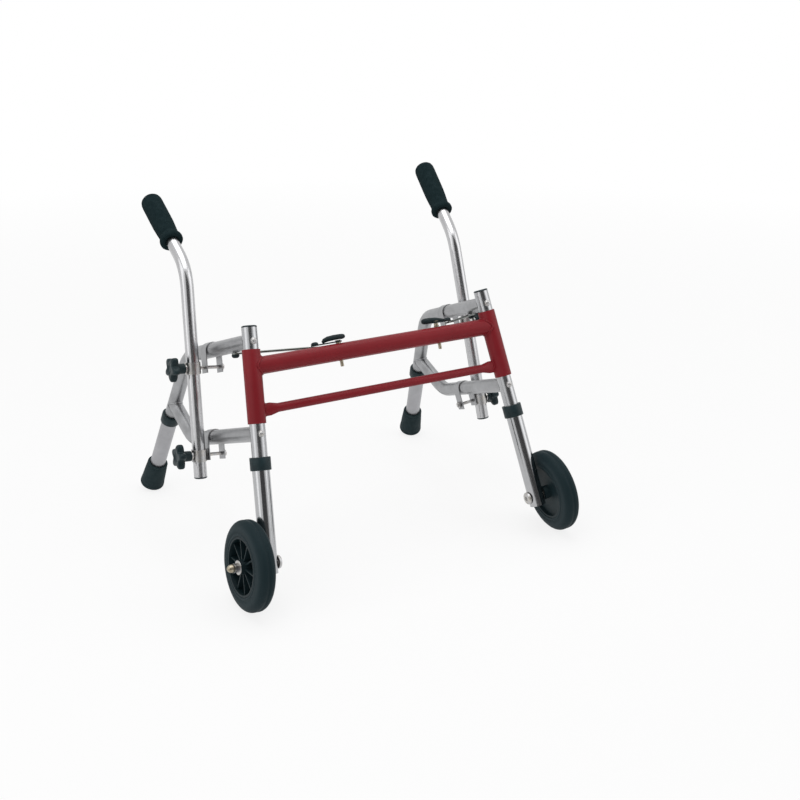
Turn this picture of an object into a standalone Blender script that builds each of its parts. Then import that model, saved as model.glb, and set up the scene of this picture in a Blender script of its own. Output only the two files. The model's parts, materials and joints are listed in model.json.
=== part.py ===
"""A child's folding walker: two side frames that swing on sleeves joined by two crossbars.

Metres, +Z up, +Y rearward. Each side frame has its own directions: out (away from the
user's space), rear (along its rails) and down (along its post), all from the post's cap.
"""

import math

import bmesh
import bpy
from mathutils import Matrix, Vector

# Clearance and roundness
GAP = 0.0003
CUT_PAST = 0.02
ROUND = 20
SMALL_ROUND = 10
BAR_ROUND = 8
LOBE_STEPS = 7
WHEEL_ROUND = 36
BEND_STEPS = 5

# How the posts stand
HALF_SPREAD = 0.2193
POST_LEAN = math.radians(21.9)
POST_SPLAY = math.radians(6.4)
SIDE_YAW = math.radians(2.6)

# Tubes
TUBE_R = 0.0127
TUBE_WALL = 0.0016
OUTER_WALL = 0.0013
OUTER_TUBE_R = TUBE_R + GAP + OUTER_WALL
SLEEVE_R = 0.0150
CROSSBAR_R = 0.0145
CROSSBAR_WALL = 0.0018
LOWER_BAR_R = 0.0074
HANDLE_R = 0.0111
HANDLE_WALL = 0.0015

# Post and centre frame, measured down the post from its cap
POST_LENGTH = 0.335
CAP_THICK = 0.0028
CAP_PLUG = 0.010
SLEEVE_TOP = 0.0356
SLEEVE_BOTTOM = 0.1545
CROSSBAR_DOWN = 0.0633
LOWER_BAR_DOWN = 0.1349
LOWER_BAR_END_HALF_WIDTH = 0.0105
LOWER_BAR_END_HALF_THICK = 0.0034
LOWER_BAR_START = 0.004
LOWER_BAR_FLAT = 0.010
LOWER_BAR_TAPER = 0.013

# Rails
RAIL_START = 0.002
UPPER_RAIL_DOWN = 0.0226
UPPER_CORNER_REAR = 0.2585
UPPER_BEND = math.radians(43.9)
UPPER_BEND_R = 0.075
INNER_LEG_LENGTH = 0.262
LOWER_RAIL_DOWN = 0.1706
LOWER_CORNER_REAR = 0.264
LOWER_BEND_R = 0.060
JUNCTION_ALONG = 0.117

# Leg adjustment: a row of holes and a push button
HOLE_PITCH = 0.024
BUTTON_R = 0.0035
BUTTON_PROUD = 0.0022
FRONT_BUTTON_DOWN = 0.240
FRONT_HOLES = (-1, 0, 1, 2, 3)
HOLE_FROM = 0.005
REAR_BUTTON_ALONG = 0.172
REAR_HOLES = (0, 1, 2, 3)

# Collars on the leg tubes
COLLAR_R = 0.0172
COLLAR_LIP = 0.0025
FRONT_COLLAR_TOP = 0.2078
FRONT_COLLAR_LENGTH = 0.0212
REAR_COLLAR_TOP = 0.1428
REAR_COLLAR_LENGTH = 0.018

# Front leg, axle and wheel
FRONT_LEG_END = 0.394
AXLE_DOWN = 0.3771
AXLE_R = 0.004
AXLE_HEAD_R = 0.0105
AXLE_HEAD_THICK = 0.0072
AXLE_TIP_OUT = 0.072
AXLE_TIP_ROUND = 0.0035
AXLE_NUT_OUT = 0.0543
AXLE_NUT_THICK = 0.0068
AXLE_NUT_R = 0.0076
WHEEL_R = 0.0735
WHEEL_IN = 0.0180
WHEEL_OUT = 0.0495
TREAD_IN = 0.0236
TREAD_OUT = 0.0422
SHOULDER_R = 0.0676
SHOULDER_DROP = 0.0018
HUB_R = 0.0481
HUB_RIM_STEP_IN = 0.0010
HUB_RIM_STEP_OUT = 0.0005
HUB_RIM_WALL = 0.0035
HUB_WEB_OUT = 0.0300
HUB_WEB_THICK = 0.0050
HUB_BOSS_R = 0.0120
HUB_BOSS_IN = 0.0150
HUB_BOSS_OUT = 0.0520
HUB_RIB_OUT = 0.0460
HUB_RIB_THICK = 0.0022
HUB_RIB_DEPTH_IN_WEB = 0.0020
HUB_RIB_PAIRS = 5

# Rear foot
FOOT_HEIGHT = 0.0565
FOOT_TOP_R = 0.0190
FOOT_BASE_R = 0.0225
FOOT_FLOOR = 0.0060
FOOT_EDGE = 0.0030
FOOT_LIP = 0.0010

# Handle: its two rings and its lower end are measured down the post, the rest along itself
UPPER_RING_DOWN = 0.0510
LOWER_RING_DOWN = 0.1990
UPPER_RING_REAR = 0.1579
LOWER_RING_REAR = 0.1783
UPPER_RING_OUT = 0.0355
LOWER_RING_OUT = 0.0288
HANDLE_BOTTOM_DOWN = 0.236
HANDLE_STRAIGHT = 0.3234
HANDLE_BEND_LEFT = math.radians(50)
HANDLE_BEND_RIGHT = math.radians(42)
HANDLE_BEND_R = 0.070
HANDLE_TAIL = 0.0356
HANDLE_YAW_LEFT = math.radians(-1)
HANDLE_YAW_RIGHT = math.radians(9)
GRIP_LENGTH = 0.118
GRIP_FLANGE_R = 0.0202
GRIP_FLANGE_THICK = 0.010
GRIP_NECK_R = 0.0170
GRIP_NECK = 0.020
GRIP_SWELL = 0.045
GRIP_R = 0.0188
GRIP_END_WALL = 0.004

# Clamps that hold the handle to the rails
RING_WALL = 0.0018
RING_HALF = 0.0102
BOLT_R = 0.003
BOLT_BOSS_R = 0.0070
BOLT_BOSS_OUT = 0.0150
SADDLE_WALL = 0.0015
SADDLE_HALF_WIDTH = 0.011
SADDLE_LEG = 0.038
NUT_R = 0.0058
NUT_THICK = 0.0050
SHANK_PAST_NUT = 0.0012
STUD_HOLE_FROM = 0.004
KNOB_BOSS_R = 0.0088
KNOB_BOSS_FROM = 0.0153
KNOB_HEAD_FROM_LEFT = 0.0300
KNOB_HEAD_FROM_RIGHT = 0.0205
KNOB_HEAD_THICK = 0.0125
KNOB_R = 0.0185
KNOB_LOBES = 5
KNOB_LOBE_DEPTH = 0.0034
KNOB_EDGE = 0.0020

# Fold brace and latch lever
BRACE_PIVOT_REAR = 0.060
BRACE_TOP_DOWN = 0.0357
BRACE_THICK = 0.0025
BRACE_HALF_WIDTH = 0.006
STUD_R = 0.003
STUD_HEAD_R = 0.006
STUD_HEAD_THICK = 0.005
PIN_R = 0.003
PIN_SHOULDER_R = 0.0055
PIN_HEAD_R = 0.0050
PIN_HEAD_THICK = 0.0020
PIN_TIP = 0.0045
LEVER_THICK = 0.0020
LEVER_HALF_WIDTH = 0.0065
LEVER_REACH = 0.039
LEVER_OVER_BRACE = 0.0004
HANDLE_TIP_IN = 0.0175
HANDLE_TIP_REAR = 0.030
RIVET_R = 0.0040
RIVET_THICK = 0.0014
PIN_FROM_POST_LEFT = 0.156
PIN_FROM_POST_RIGHT = 0.107

# Colours
RED = (0.28, 0.028, 0.038)
BRIGHT = (0.72, 0.73, 0.75)
SATIN = (0.55, 0.56, 0.58)
STEEL = (0.45, 0.45, 0.46)
BRASS = (0.62, 0.45, 0.20)
BLACK = (0.022, 0.028, 0.030)
FOAM = (0.030, 0.032, 0.034)
TYRE = (0.085, 0.095, 0.10)


def clear_scene():
    for obj in list(bpy.data.objects):
        bpy.data.objects.remove(obj, do_unlink=True)


def axes_at(point, z_axis, x_hint):
    """A placing whose own Z runs along z_axis and whose X is as near x_hint as it can be."""
    z = z_axis.normalized()
    x = (x_hint - z * x_hint.dot(z)).normalized()
    placing = Matrix((x, z.cross(x), z)).transposed().to_4x4()
    placing.translation = point
    return placing


def made_object(name, bm, smooth_angle=math.radians(35)):
    bmesh.ops.recalc_face_normals(bm, faces=bm.faces)
    for face in bm.faces:
        face.smooth = True
    for edge in bm.edges:
        if len(edge.link_faces) == 2 and edge.calc_face_angle() > smooth_angle:
            edge.smooth = False
    mesh = bpy.data.meshes.new(name)
    bm.to_mesh(mesh)
    bm.free()
    obj = bpy.data.objects.new(name, mesh)
    bpy.context.scene.collection.objects.link(obj)
    return obj


def turned(name, outline, segments=ROUND, ring=False):
    """A round piece: (radius, height) points spun about Z. A ring's outline closes on itself."""
    bm = bmesh.new()
    verts = [bm.verts.new((radius, 0, height)) for radius, height in outline]
    edges = [bm.edges.new(ends) for ends in zip(verts, verts[1:])]
    if ring:
        edges.append(bm.edges.new((verts[-1], verts[0])))
    bmesh.ops.spin(
        bm,
        geom=verts + edges,
        cent=(0, 0, 0),
        axis=(0, 0, 1),
        angle=math.tau,
        steps=segments,
        use_merge=True,
    )
    bmesh.ops.remove_doubles(bm, verts=bm.verts, dist=1e-6)
    return made_object(name, bm)


def pipe(name, outer, inner, start, end, segments=ROUND):
    outline = [(inner, start), (outer, start), (outer, end), (inner, end)]
    return turned(name, outline, segments, ring=True)


def rod(name, radius, start, end, segments=SMALL_ROUND):
    return turned(name, [(0, start), (radius, start), (radius, end), (0, end)], segments)


def extruded(name, outline, start, end):
    """A flat outline of (x, y) points, made thick along Z."""
    bm = bmesh.new()
    face = bm.faces.new([bm.verts.new((x, y, start)) for x, y in outline])
    moved = bmesh.ops.extrude_face_region(bm, geom=[face])
    verts = [item for item in moved["geom"] if isinstance(item, bmesh.types.BMVert)]
    bmesh.ops.translate(bm, verts=verts, vec=(0, 0, end - start))
    return made_object(name, bm)


def lofted(name, sections, segments=ROUND):
    """Ellipses of (height, half X, half Y), bridged in order and closed at both ends."""
    bm = bmesh.new()
    rings = []
    for height, half_x, half_y in sections:
        shape = Matrix.Translation((0, 0, height)) @ Matrix.Diagonal((half_x, half_y, 1, 1))
        made = bmesh.ops.create_circle(bm, segments=segments, radius=1, matrix=shape)
        rings.append(made["verts"])
    for lower, upper in zip(rings, rings[1:]):
        members = set(lower) | set(upper)
        edges = [edge for edge in bm.edges if set(edge.verts) <= members]
        edges = [edge for edge in edges if not edge.link_faces or len(edge.link_faces) == 1]
        bmesh.ops.bridge_loops(bm, edges=edges)
    bm.faces.new(rings[0])
    bm.faces.new(rings[-1])
    return made_object(name, bm)


def rounded_corner(before, corner, after, radius):
    """Points of the arc that rounds this corner of a path."""
    back = (before - corner).normalized()
    onward = (after - corner).normalized()
    half = back.angle(onward) / 2
    reach = radius / math.tan(half)
    centre = corner + (back + onward).normalized() * (radius / math.sin(half))
    first = (corner + back * reach - centre).normalized()
    last = (corner + onward * reach - centre).normalized()
    shares = [step / BEND_STEPS for step in range(BEND_STEPS + 1)]
    return [centre + first.slerp(last, share) * radius for share in shares]


def bent_tube(name, path, radius, wall):
    """A hollow tube along a path, open at both ends."""
    curve = bpy.data.curves.new(name + "_path", "CURVE")
    curve.dimensions = "3D"
    curve.twist_mode = "MINIMUM"
    curve.bevel_depth = radius
    curve.bevel_resolution = ROUND // 2 - 2
    spline = curve.splines.new("POLY")
    spline.points.add(len(path) - 1)
    for point, place in zip(spline.points, path):
        point.co = (*place, 1)
    guide = bpy.data.objects.new(name + "_path", curve)
    bpy.context.scene.collection.objects.link(guide)
    graph = bpy.context.evaluated_depsgraph_get()
    mesh = bpy.data.meshes.new_from_object(guide.evaluated_get(graph))
    bm = bmesh.new()
    bm.from_mesh(mesh)
    bpy.data.objects.remove(guide)
    bpy.data.meshes.remove(mesh)
    bmesh.ops.remove_doubles(bm, verts=bm.verts, dist=1e-6)
    obj = made_object(name, bm)
    shell = obj.modifiers.new("wall", "SOLIDIFY")
    shell.thickness = wall
    shell.offset = -1
    shell.use_even_offset = True
    return obj


def boolean(obj, other, operation):
    """Cuts the other shape from this piece, or joins it to this piece."""
    other.hide_render = True
    other.display_type = "WIRE"
    other.name = "helper_" + other.name
    step = obj.modifiers.new(other.name, "BOOLEAN")
    step.operation = operation
    step.solver = "EXACT"
    step.object = other


def cut(obj, cutter):
    boolean(obj, cutter, "DIFFERENCE")


def join(obj, piece):
    boolean(obj, piece, "UNION")


def hex_nut(name, radius, hole_radius, start, end, placing):
    obj = rod(name, radius, start, end, 6)
    obj.matrix_world = placing
    hole = rod(name + "_hole", hole_radius, start - radius, end + radius)
    hole.matrix_world = placing
    cut(obj, hole)
    finish(obj, STEEL, 1.0, 0.3)
    return obj


def finish(obj, colour, metallic, roughness):
    material = bpy.data.materials.new(obj.name)
    material.use_nodes = True
    shader = material.node_tree.nodes["Principled BSDF"]
    shader.inputs["Base Color"].default_value = (*colour, 1)
    shader.inputs["Metallic"].default_value = metallic
    shader.inputs["Roughness"].default_value = roughness
    obj.data.materials.clear()
    obj.data.materials.append(material)


class Side:
    """One side's own directions, and the places that its pieces share."""

    def __init__(self, name, sign, pin_from_post, handle_bend, handle_yaw, knob_from):
        self.name = name
        self.sign = sign
        self.pin_from_post = pin_from_post
        self.handle_bend = handle_bend
        self.handle_yaw = handle_yaw
        self.knob_from = knob_from
        up = Vector((-sign * math.tan(POST_SPLAY), math.tan(POST_LEAN), 1)).normalized()
        rear = Vector((0, 1, 0))
        rear = (rear - up * rear.dot(up)).normalized()
        rear = Matrix.Rotation(-SIDE_YAW * sign, 3, up) @ rear
        self.frame = Matrix((rear.cross(up), rear, up)).transposed().to_4x4()
        self.outward = self.along(1, 0, 0)
        self.rearward = self.along(0, 1, 0)
        self.downward = self.along(0, 0, 1)
        leg_rear = math.cos(UPPER_BEND)
        leg_down = math.sin(UPPER_BEND)
        self.leg_dir = self.along(0, leg_rear, leg_down)
        self.leg_back = self.along(0, leg_down, -leg_rear)
        self.frame.translation = (sign * HALF_SPREAD, 0, 0)

    def along(self, out, rear, down):
        """A direction given as out, rear and down."""
        return self.frame.to_3x3() @ Vector((self.sign * out, rear, -down))

    def at(self, out, rear, down):
        """A place given as out, rear and down from the post's cap."""
        return self.frame @ Vector((self.sign * out, rear, -down))

    def stand_at(self, forward_shift, height):
        self.frame.translation = (self.sign * HALF_SPREAD, forward_shift, height)

    def on_leg(self, along):
        """A place on the axis of the rear leg."""
        return self.at(0, UPPER_CORNER_REAR, UPPER_RAIL_DOWN) + self.leg_dir * along

    def handle_at(self, down):
        """A place on the straight part of the handle's axis."""
        share = (down - UPPER_RING_DOWN) / (LOWER_RING_DOWN - UPPER_RING_DOWN)
        out = UPPER_RING_OUT + share * (LOWER_RING_OUT - UPPER_RING_OUT)
        rear = UPPER_RING_REAR + share * (LOWER_RING_REAR - UPPER_RING_REAR)
        return self.at(out, rear, down)

    def handle_up(self):
        return (self.handle_at(UPPER_RING_DOWN) - self.handle_at(LOWER_RING_DOWN)).normalized()

    def fold_axis(self):
        """A placing on the post's axis, which the whole side frame swings about."""
        return axes_at(self.at(0, 0, 0), -self.downward, self.rearward)

    def node(self, piece):
        return f"{piece}_{self.name}"


def ground_height(side):
    """How high the post's cap stands above the floor when the wheel rests on it."""
    centre = side.at((TREAD_IN + TREAD_OUT) / 2, 0, AXLE_DOWN)
    tilt = abs(side.outward.z)
    reach = WHEEL_R * math.sqrt(1 - tilt**2) + (TREAD_OUT - TREAD_IN) / 2 * tilt
    return reach - centre.z


def foot_along(side):
    """How far along the rear leg the foot's base lies, so that its low edge meets the floor."""
    corner = side.on_leg(0)
    edge = FOOT_BASE_R * math.sqrt(1 - side.leg_dir.z**2)
    return (edge - corner.z) / side.leg_dir.z


def place(obj, point, z_axis, x_hint):
    obj.matrix_world = axes_at(point, z_axis, x_hint)
    return obj


def hang_on(obj, axis):
    """Moves a piece's own origin onto the axis that it turns about or slides along."""
    obj.data.transform(axis.inverted() @ obj.matrix_world)
    obj.matrix_world = axis


# Centre frame


def sleeve_cutter(side, name):
    start = SLEEVE_TOP - CUT_PAST
    cutter = rod(name, SLEEVE_R + GAP, start, SLEEVE_BOTTOM + CUT_PAST, ROUND)
    return place(cutter, side.at(0, 0, 0), side.downward, side.rearward)


def sleeve(side):
    obj = pipe(side.node("sleeve"), SLEEVE_R, TUBE_R + GAP, SLEEVE_TOP, SLEEVE_BOTTOM)
    place(obj, side.at(0, 0, 0), side.downward, side.rearward)
    finish(obj, RED, 0.0, 0.3)


def lean_up():
    return Vector((0, math.sin(POST_LEAN), math.cos(POST_LEAN)))


def pin_place(side):
    """Where this side's latch pin crosses the upper crossbar's axis."""
    return side.at(0, 0, CROSSBAR_DOWN) - Vector((side.sign * side.pin_from_post, 0, 0))


def crossbar(sides):
    left = sides[0].at(0, 0, CROSSBAR_DOWN)
    right = sides[1].at(0, 0, CROSSBAR_DOWN)
    length = (right - left).length
    obj = pipe("crossbar", CROSSBAR_R, CROSSBAR_R - CROSSBAR_WALL, 0, length)
    place(obj, left, right - left, lean_up())
    for side in sides:
        cut(obj, sleeve_cutter(side, side.node("crossbar_cope")))
        hole = rod(side.node("pin_hole"), PIN_R + GAP, -2 * CROSSBAR_R, 2 * CROSSBAR_R)
        cut(obj, place(hole, pin_place(side), lean_up(), Vector((1, 0.2, 0))))
    finish(obj, RED, 0.0, 0.3)


def lower_crossbar(sides):
    left = sides[0].at(0, 0, LOWER_BAR_DOWN)
    right = sides[1].at(0, 0, LOWER_BAR_DOWN)
    length = (right - left).length
    flat_end = SLEEVE_R + LOWER_BAR_FLAT
    round_from = flat_end + LOWER_BAR_TAPER
    flat = (LOWER_BAR_END_HALF_WIDTH, LOWER_BAR_END_HALF_THICK)
    full = (LOWER_BAR_R, LOWER_BAR_R)
    sections = [(LOWER_BAR_START, *flat), (flat_end, *flat), (round_from, *full)]
    sections += [(length - height, *half) for height, *half in reversed(sections)]
    obj = lofted("lower_crossbar", sections)
    place(obj, left, right - left, lean_up())
    for side in sides:
        cut(obj, sleeve_cutter(side, side.node("lower_bar_cope")))
    finish(obj, RED, 0.0, 0.3)


def lever_direction(side):
    """From the latch pin towards the brace's pivot, square to the pin."""
    toward = side.at(0, BRACE_PIVOT_REAR, BRACE_TOP_DOWN) - pin_place(side)
    return (toward - lean_up() * toward.dot(lean_up())).normalized()


def lever_lift(side):
    """How far the lever's underside lies above the crossbar's axis, to clear the brace."""
    end = pin_place(side) + lever_direction(side) * (LEVER_REACH + LEVER_HALF_WIDTH)
    to_brace = side.at(0, 0, BRACE_TOP_DOWN) - end
    rise = to_brace.dot(side.downward) / lean_up().dot(side.downward)
    return rise + LEVER_OVER_BRACE


def latch_pin(side):
    lift = lever_lift(side)
    shoulder_top = lift - GAP
    head_from = lift + LEVER_THICK + GAP
    outline = [
        (0, -CROSSBAR_R - PIN_TIP),
        (PIN_R * 0.7, -CROSSBAR_R - PIN_TIP),
        (PIN_R, -CROSSBAR_R - PIN_TIP + PIN_R * 0.4),
        (PIN_R, CROSSBAR_R + GAP),
        (PIN_SHOULDER_R, CROSSBAR_R + GAP),
        (PIN_SHOULDER_R, shoulder_top),
        (PIN_R, shoulder_top),
        (PIN_R, head_from),
        (PIN_HEAD_R, head_from),
        (PIN_HEAD_R * 0.8, head_from + PIN_HEAD_THICK),
        (0, head_from + PIN_HEAD_THICK),
    ]
    obj = turned(side.node("latch_pin"), outline, SMALL_ROUND)
    place(obj, pin_place(side), lean_up(), Vector((1, 0, 0)))
    finish(obj, BRASS, 1.0, 0.35)


# Post and rails


def pivot_post(side):
    obj = pipe(side.node("pivot_post"), TUBE_R, TUBE_R - TUBE_WALL, 0, POST_LENGTH)
    place(obj, side.at(0, 0, 0), side.downward, side.rearward)
    for step in FRONT_HOLES:
        hole = rod(side.node(f"post_hole_{step + 1}"), BUTTON_R + GAP, HOLE_FROM, 2 * TUBE_R)
        down = FRONT_BUTTON_DOWN + step * HOLE_PITCH
        cut(obj, place(hole, side.at(0, 0, down), side.rearward, side.downward))
    finish(obj, BRIGHT, 1.0, 0.15)


def post_cap(side):
    plug = TUBE_R - TUBE_WALL - GAP
    outline = [
        (0, CAP_PLUG),
        (plug, CAP_PLUG),
        (plug, -GAP),
        (TUBE_R, -GAP),
        (TUBE_R, -CAP_THICK * 0.6),
        (TUBE_R * 0.88, -CAP_THICK),
        (0, -CAP_THICK),
    ]
    obj = turned(side.node("post_cap"), outline)
    place(obj, side.at(0, 0, 0), side.downward, side.rearward)
    finish(obj, BLACK, 0.0, 0.45)


def post_cutter(side, name):
    cutter = rod(name, TUBE_R + GAP, -CUT_PAST, LOWER_RAIL_DOWN + TUBE_R + CUT_PAST, ROUND)
    return place(cutter, side.at(0, 0, 0), side.downward, side.rearward)


def upper_rail(side):
    """The rail and the rear inner leg are one bent tube. It carries the stud of the brace."""
    start = side.at(0, RAIL_START, UPPER_RAIL_DOWN)
    corner = side.on_leg(0)
    end = side.on_leg(INNER_LEG_LENGTH)
    path = [start, *rounded_corner(start, corner, end, UPPER_BEND_R), end]
    obj = bent_tube(side.node("upper_rail"), path, TUBE_R, TUBE_WALL)
    hang_on(obj, side.fold_axis())
    cut(obj, post_cutter(side, side.node("upper_cope")))
    for step in REAR_HOLES:
        hole = rod(side.node(f"leg_hole_{step}"), BUTTON_R + GAP, HOLE_FROM, 2 * TUBE_R)
        middle = side.on_leg(REAR_BUTTON_ALONG + step * HOLE_PITCH)
        cut(obj, place(hole, middle, side.leg_back, side.leg_dir))
    top = UPPER_RAIL_DOWN + TUBE_R - TUBE_WALL * 0.5
    head = BRACE_TOP_DOWN + BRACE_THICK + GAP
    outline = [
        (0, top),
        (STUD_R, top),
        (STUD_R, head),
        (STUD_HEAD_R, head),
        (STUD_HEAD_R, head + STUD_HEAD_THICK * 0.5),
        (STUD_HEAD_R * 0.6, head + STUD_HEAD_THICK),
        (0, head + STUD_HEAD_THICK),
    ]
    stud = turned(side.node("stud"), outline, SMALL_ROUND)
    place(stud, side.at(0, BRACE_PIVOT_REAR, 0), side.downward, side.rearward)
    join(obj, stud)
    finish(obj, SATIN, 1.0, 0.35)


def lower_rail(side):
    start = side.at(0, RAIL_START, LOWER_RAIL_DOWN)
    corner = side.at(0, LOWER_CORNER_REAR, LOWER_RAIL_DOWN)
    end = side.on_leg(JUNCTION_ALONG)
    path = [start, *rounded_corner(start, corner, end, LOWER_BEND_R), end]
    obj = bent_tube(side.node("lower_rail"), path, TUBE_R, TUBE_WALL)
    hang_on(obj, side.fold_axis())
    cut(obj, post_cutter(side, side.node("lower_cope")))
    reach = 2 * TUBE_R + CUT_PAST
    leg_from = JUNCTION_ALONG - reach
    leg = rod(side.node("leg_cope"), TUBE_R + GAP, leg_from, JUNCTION_ALONG + reach, ROUND)
    cut(obj, place(leg, side.on_leg(0), side.leg_dir, side.outward))
    finish(obj, SATIN, 1.0, 0.35)


# Legs


def collar(name, length):
    """It holds the outer tube's top, with a lip over its end."""
    tube_hole = OUTER_TUBE_R + GAP
    outline = [
        (TUBE_R + GAP, 0),
        (COLLAR_R, 0),
        (COLLAR_R, length),
        (tube_hole, length),
        (tube_hole, COLLAR_LIP),
        (TUBE_R + GAP, COLLAR_LIP),
    ]
    return turned(name, outline, ring=True)


def button(name):
    inner = TUBE_R + GAP
    dome = OUTER_TUBE_R + BUTTON_PROUD
    outline = [
        (0, inner),
        (BUTTON_R, inner),
        (BUTTON_R, dome - BUTTON_R * 0.4),
        (BUTTON_R * 0.75, dome - BUTTON_R * 0.12),
        (BUTTON_R * 0.4, dome),
        (0, dome),
    ]
    return turned(name, outline, SMALL_ROUND)


def front_leg(side):
    top = FRONT_COLLAR_TOP + COLLAR_LIP + GAP
    tube = pipe(side.node("front_leg_tube"), OUTER_TUBE_R, TUBE_R + GAP, top, FRONT_LEG_END)
    place(tube, side.at(0, 0, 0), side.downward, side.rearward)
    hole = rod(side.node("front_button_hole"), BUTTON_R + GAP, HOLE_FROM, 2 * TUBE_R)
    cut(tube, place(hole, side.at(0, 0, FRONT_BUTTON_DOWN), side.rearward, side.downward))
    hole = rod(side.node("axle_hole"), AXLE_R + GAP, -2 * TUBE_R, 2 * TUBE_R, ROUND)
    cut(tube, place(hole, side.at(0, 0, AXLE_DOWN), side.outward, side.downward))
    finish(tube, BRIGHT, 1.0, 0.15)
    ring = collar(side.node("front_collar"), FRONT_COLLAR_LENGTH)
    place(ring, side.at(0, 0, FRONT_COLLAR_TOP), side.downward, side.rearward)
    finish(ring, BLACK, 0.0, 0.45)
    snap = button(side.node("front_snap_button"))
    place(snap, side.at(0, 0, FRONT_BUTTON_DOWN), side.rearward, side.downward)
    finish(snap, STEEL, 1.0, 0.3)


def rear_leg(side):
    top = REAR_COLLAR_TOP + COLLAR_LIP + GAP
    end = foot_along(side) - FOOT_FLOOR - GAP
    tube = pipe(side.node("rear_leg_tube"), OUTER_TUBE_R, TUBE_R + GAP, top, end)
    place(tube, side.on_leg(0), side.leg_dir, side.outward)
    hole = rod(side.node("rear_button_hole"), BUTTON_R + GAP, HOLE_FROM, 2 * TUBE_R)
    cut(tube, place(hole, side.on_leg(REAR_BUTTON_ALONG), side.leg_back, side.leg_dir))
    finish(tube, SATIN, 1.0, 0.3)
    ring = collar(side.node("rear_collar"), REAR_COLLAR_LENGTH)
    place(ring, side.on_leg(REAR_COLLAR_TOP), side.leg_dir, side.outward)
    finish(ring, BLACK, 0.0, 0.45)
    snap = button(side.node("rear_snap_button"))
    place(snap, side.on_leg(REAR_BUTTON_ALONG), side.leg_back, side.leg_dir)
    finish(snap, STEEL, 1.0, 0.3)


def rear_foot(side):
    bore = OUTER_TUBE_R + GAP
    outline = [
        (0, FOOT_HEIGHT - FOOT_FLOOR),
        (bore, FOOT_HEIGHT - FOOT_FLOOR),
        (bore, 0),
        (FOOT_TOP_R - FOOT_LIP, 0),
        (FOOT_TOP_R, FOOT_LIP),
        (FOOT_BASE_R, FOOT_HEIGHT - FOOT_EDGE * 2),
        (FOOT_BASE_R, FOOT_HEIGHT),
        (0, FOOT_HEIGHT),
    ]
    obj = turned(side.node("rear_foot"), outline)
    place(obj, side.on_leg(foot_along(side) - FOOT_HEIGHT), side.leg_dir, side.outward)
    finish(obj, BLACK, 0.0, 0.6)


# Wheel


def axle(side):
    outline = [
        (0, -OUTER_TUBE_R - GAP - AXLE_HEAD_THICK),
        (AXLE_HEAD_R * 0.7, -OUTER_TUBE_R - GAP - AXLE_HEAD_THICK),
        (AXLE_HEAD_R, -OUTER_TUBE_R - GAP - AXLE_HEAD_THICK * 0.6),
        (AXLE_HEAD_R, -OUTER_TUBE_R - GAP),
        (AXLE_R, -OUTER_TUBE_R - GAP),
        (AXLE_R, AXLE_TIP_OUT - AXLE_TIP_ROUND),
        (AXLE_R * 0.7, AXLE_TIP_OUT - AXLE_TIP_ROUND * 0.3),
        (0, AXLE_TIP_OUT),
    ]
    bolt = turned(side.node("axle_bolt"), outline)
    place(bolt, side.at(0, 0, AXLE_DOWN), side.outward, side.downward)
    finish(bolt, STEEL, 1.0, 0.3)
    placing = axes_at(side.at(0, 0, AXLE_DOWN), side.outward, side.downward)
    nut_end = AXLE_NUT_OUT + AXLE_NUT_THICK
    hex_nut(side.node("axle_nut"), AXLE_NUT_R, AXLE_R + GAP, AXLE_NUT_OUT, nut_end, placing)


def wheel(side):
    seat = HUB_R + GAP
    outline = [
        (seat, WHEEL_IN),
        (SHOULDER_R, WHEEL_IN),
        (WHEEL_R - SHOULDER_DROP, (WHEEL_IN + TREAD_IN) / 2),
        (WHEEL_R, TREAD_IN),
        (WHEEL_R, TREAD_OUT),
        (WHEEL_R - SHOULDER_DROP, (WHEEL_OUT + TREAD_OUT) / 2),
        (SHOULDER_R, WHEEL_OUT),
        (seat, WHEEL_OUT),
    ]
    tyre = turned(side.node("wheel_tyre"), outline, WHEEL_ROUND, ring=True)
    place(tyre, side.at(0, 0, AXLE_DOWN), side.outward, side.downward)
    finish(tyre, TYRE, 0.0, 0.7)
    rim = HUB_R - HUB_RIM_WALL
    web_in = HUB_WEB_OUT - HUB_WEB_THICK
    outline = [
        (AXLE_R + GAP, HUB_BOSS_IN),
        (HUB_BOSS_R, HUB_BOSS_IN),
        (HUB_BOSS_R, web_in),
        (rim, web_in),
        (rim, WHEEL_IN + HUB_RIM_STEP_IN),
        (HUB_R, WHEEL_IN + HUB_RIM_STEP_IN),
        (HUB_R, WHEEL_OUT - HUB_RIM_STEP_OUT),
        (rim, WHEEL_OUT - HUB_RIM_STEP_OUT),
        (rim, HUB_WEB_OUT),
        (HUB_BOSS_R, HUB_WEB_OUT),
        (HUB_BOSS_R, HUB_BOSS_OUT),
        (AXLE_R + GAP, HUB_BOSS_OUT),
    ]
    hub = turned(side.node("wheel_hub"), outline, WHEEL_ROUND, ring=True)
    place(hub, side.at(0, 0, AXLE_DOWN), side.outward, side.downward)
    reach = (rim + HUB_R) / 2
    inner = (AXLE_R + GAP + HUB_BOSS_R) / 2
    for number in range(2 * HUB_RIB_PAIRS):
        half = HUB_RIB_THICK / 2
        outline = [(inner, -half), (reach, -half), (reach, half), (inner, half)]
        rib_from = HUB_WEB_OUT - HUB_RIB_DEPTH_IN_WEB
        rib = extruded(side.node(f"rib_{number}"), outline, rib_from, HUB_RIB_OUT)
        turn = Matrix.Rotation(math.pi * number / HUB_RIB_PAIRS, 4, "Z")
        rib.matrix_world = hub.matrix_world @ turn
        join(hub, rib)
    finish(hub, BLACK, 0.0, 0.5)


# Handle


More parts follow.
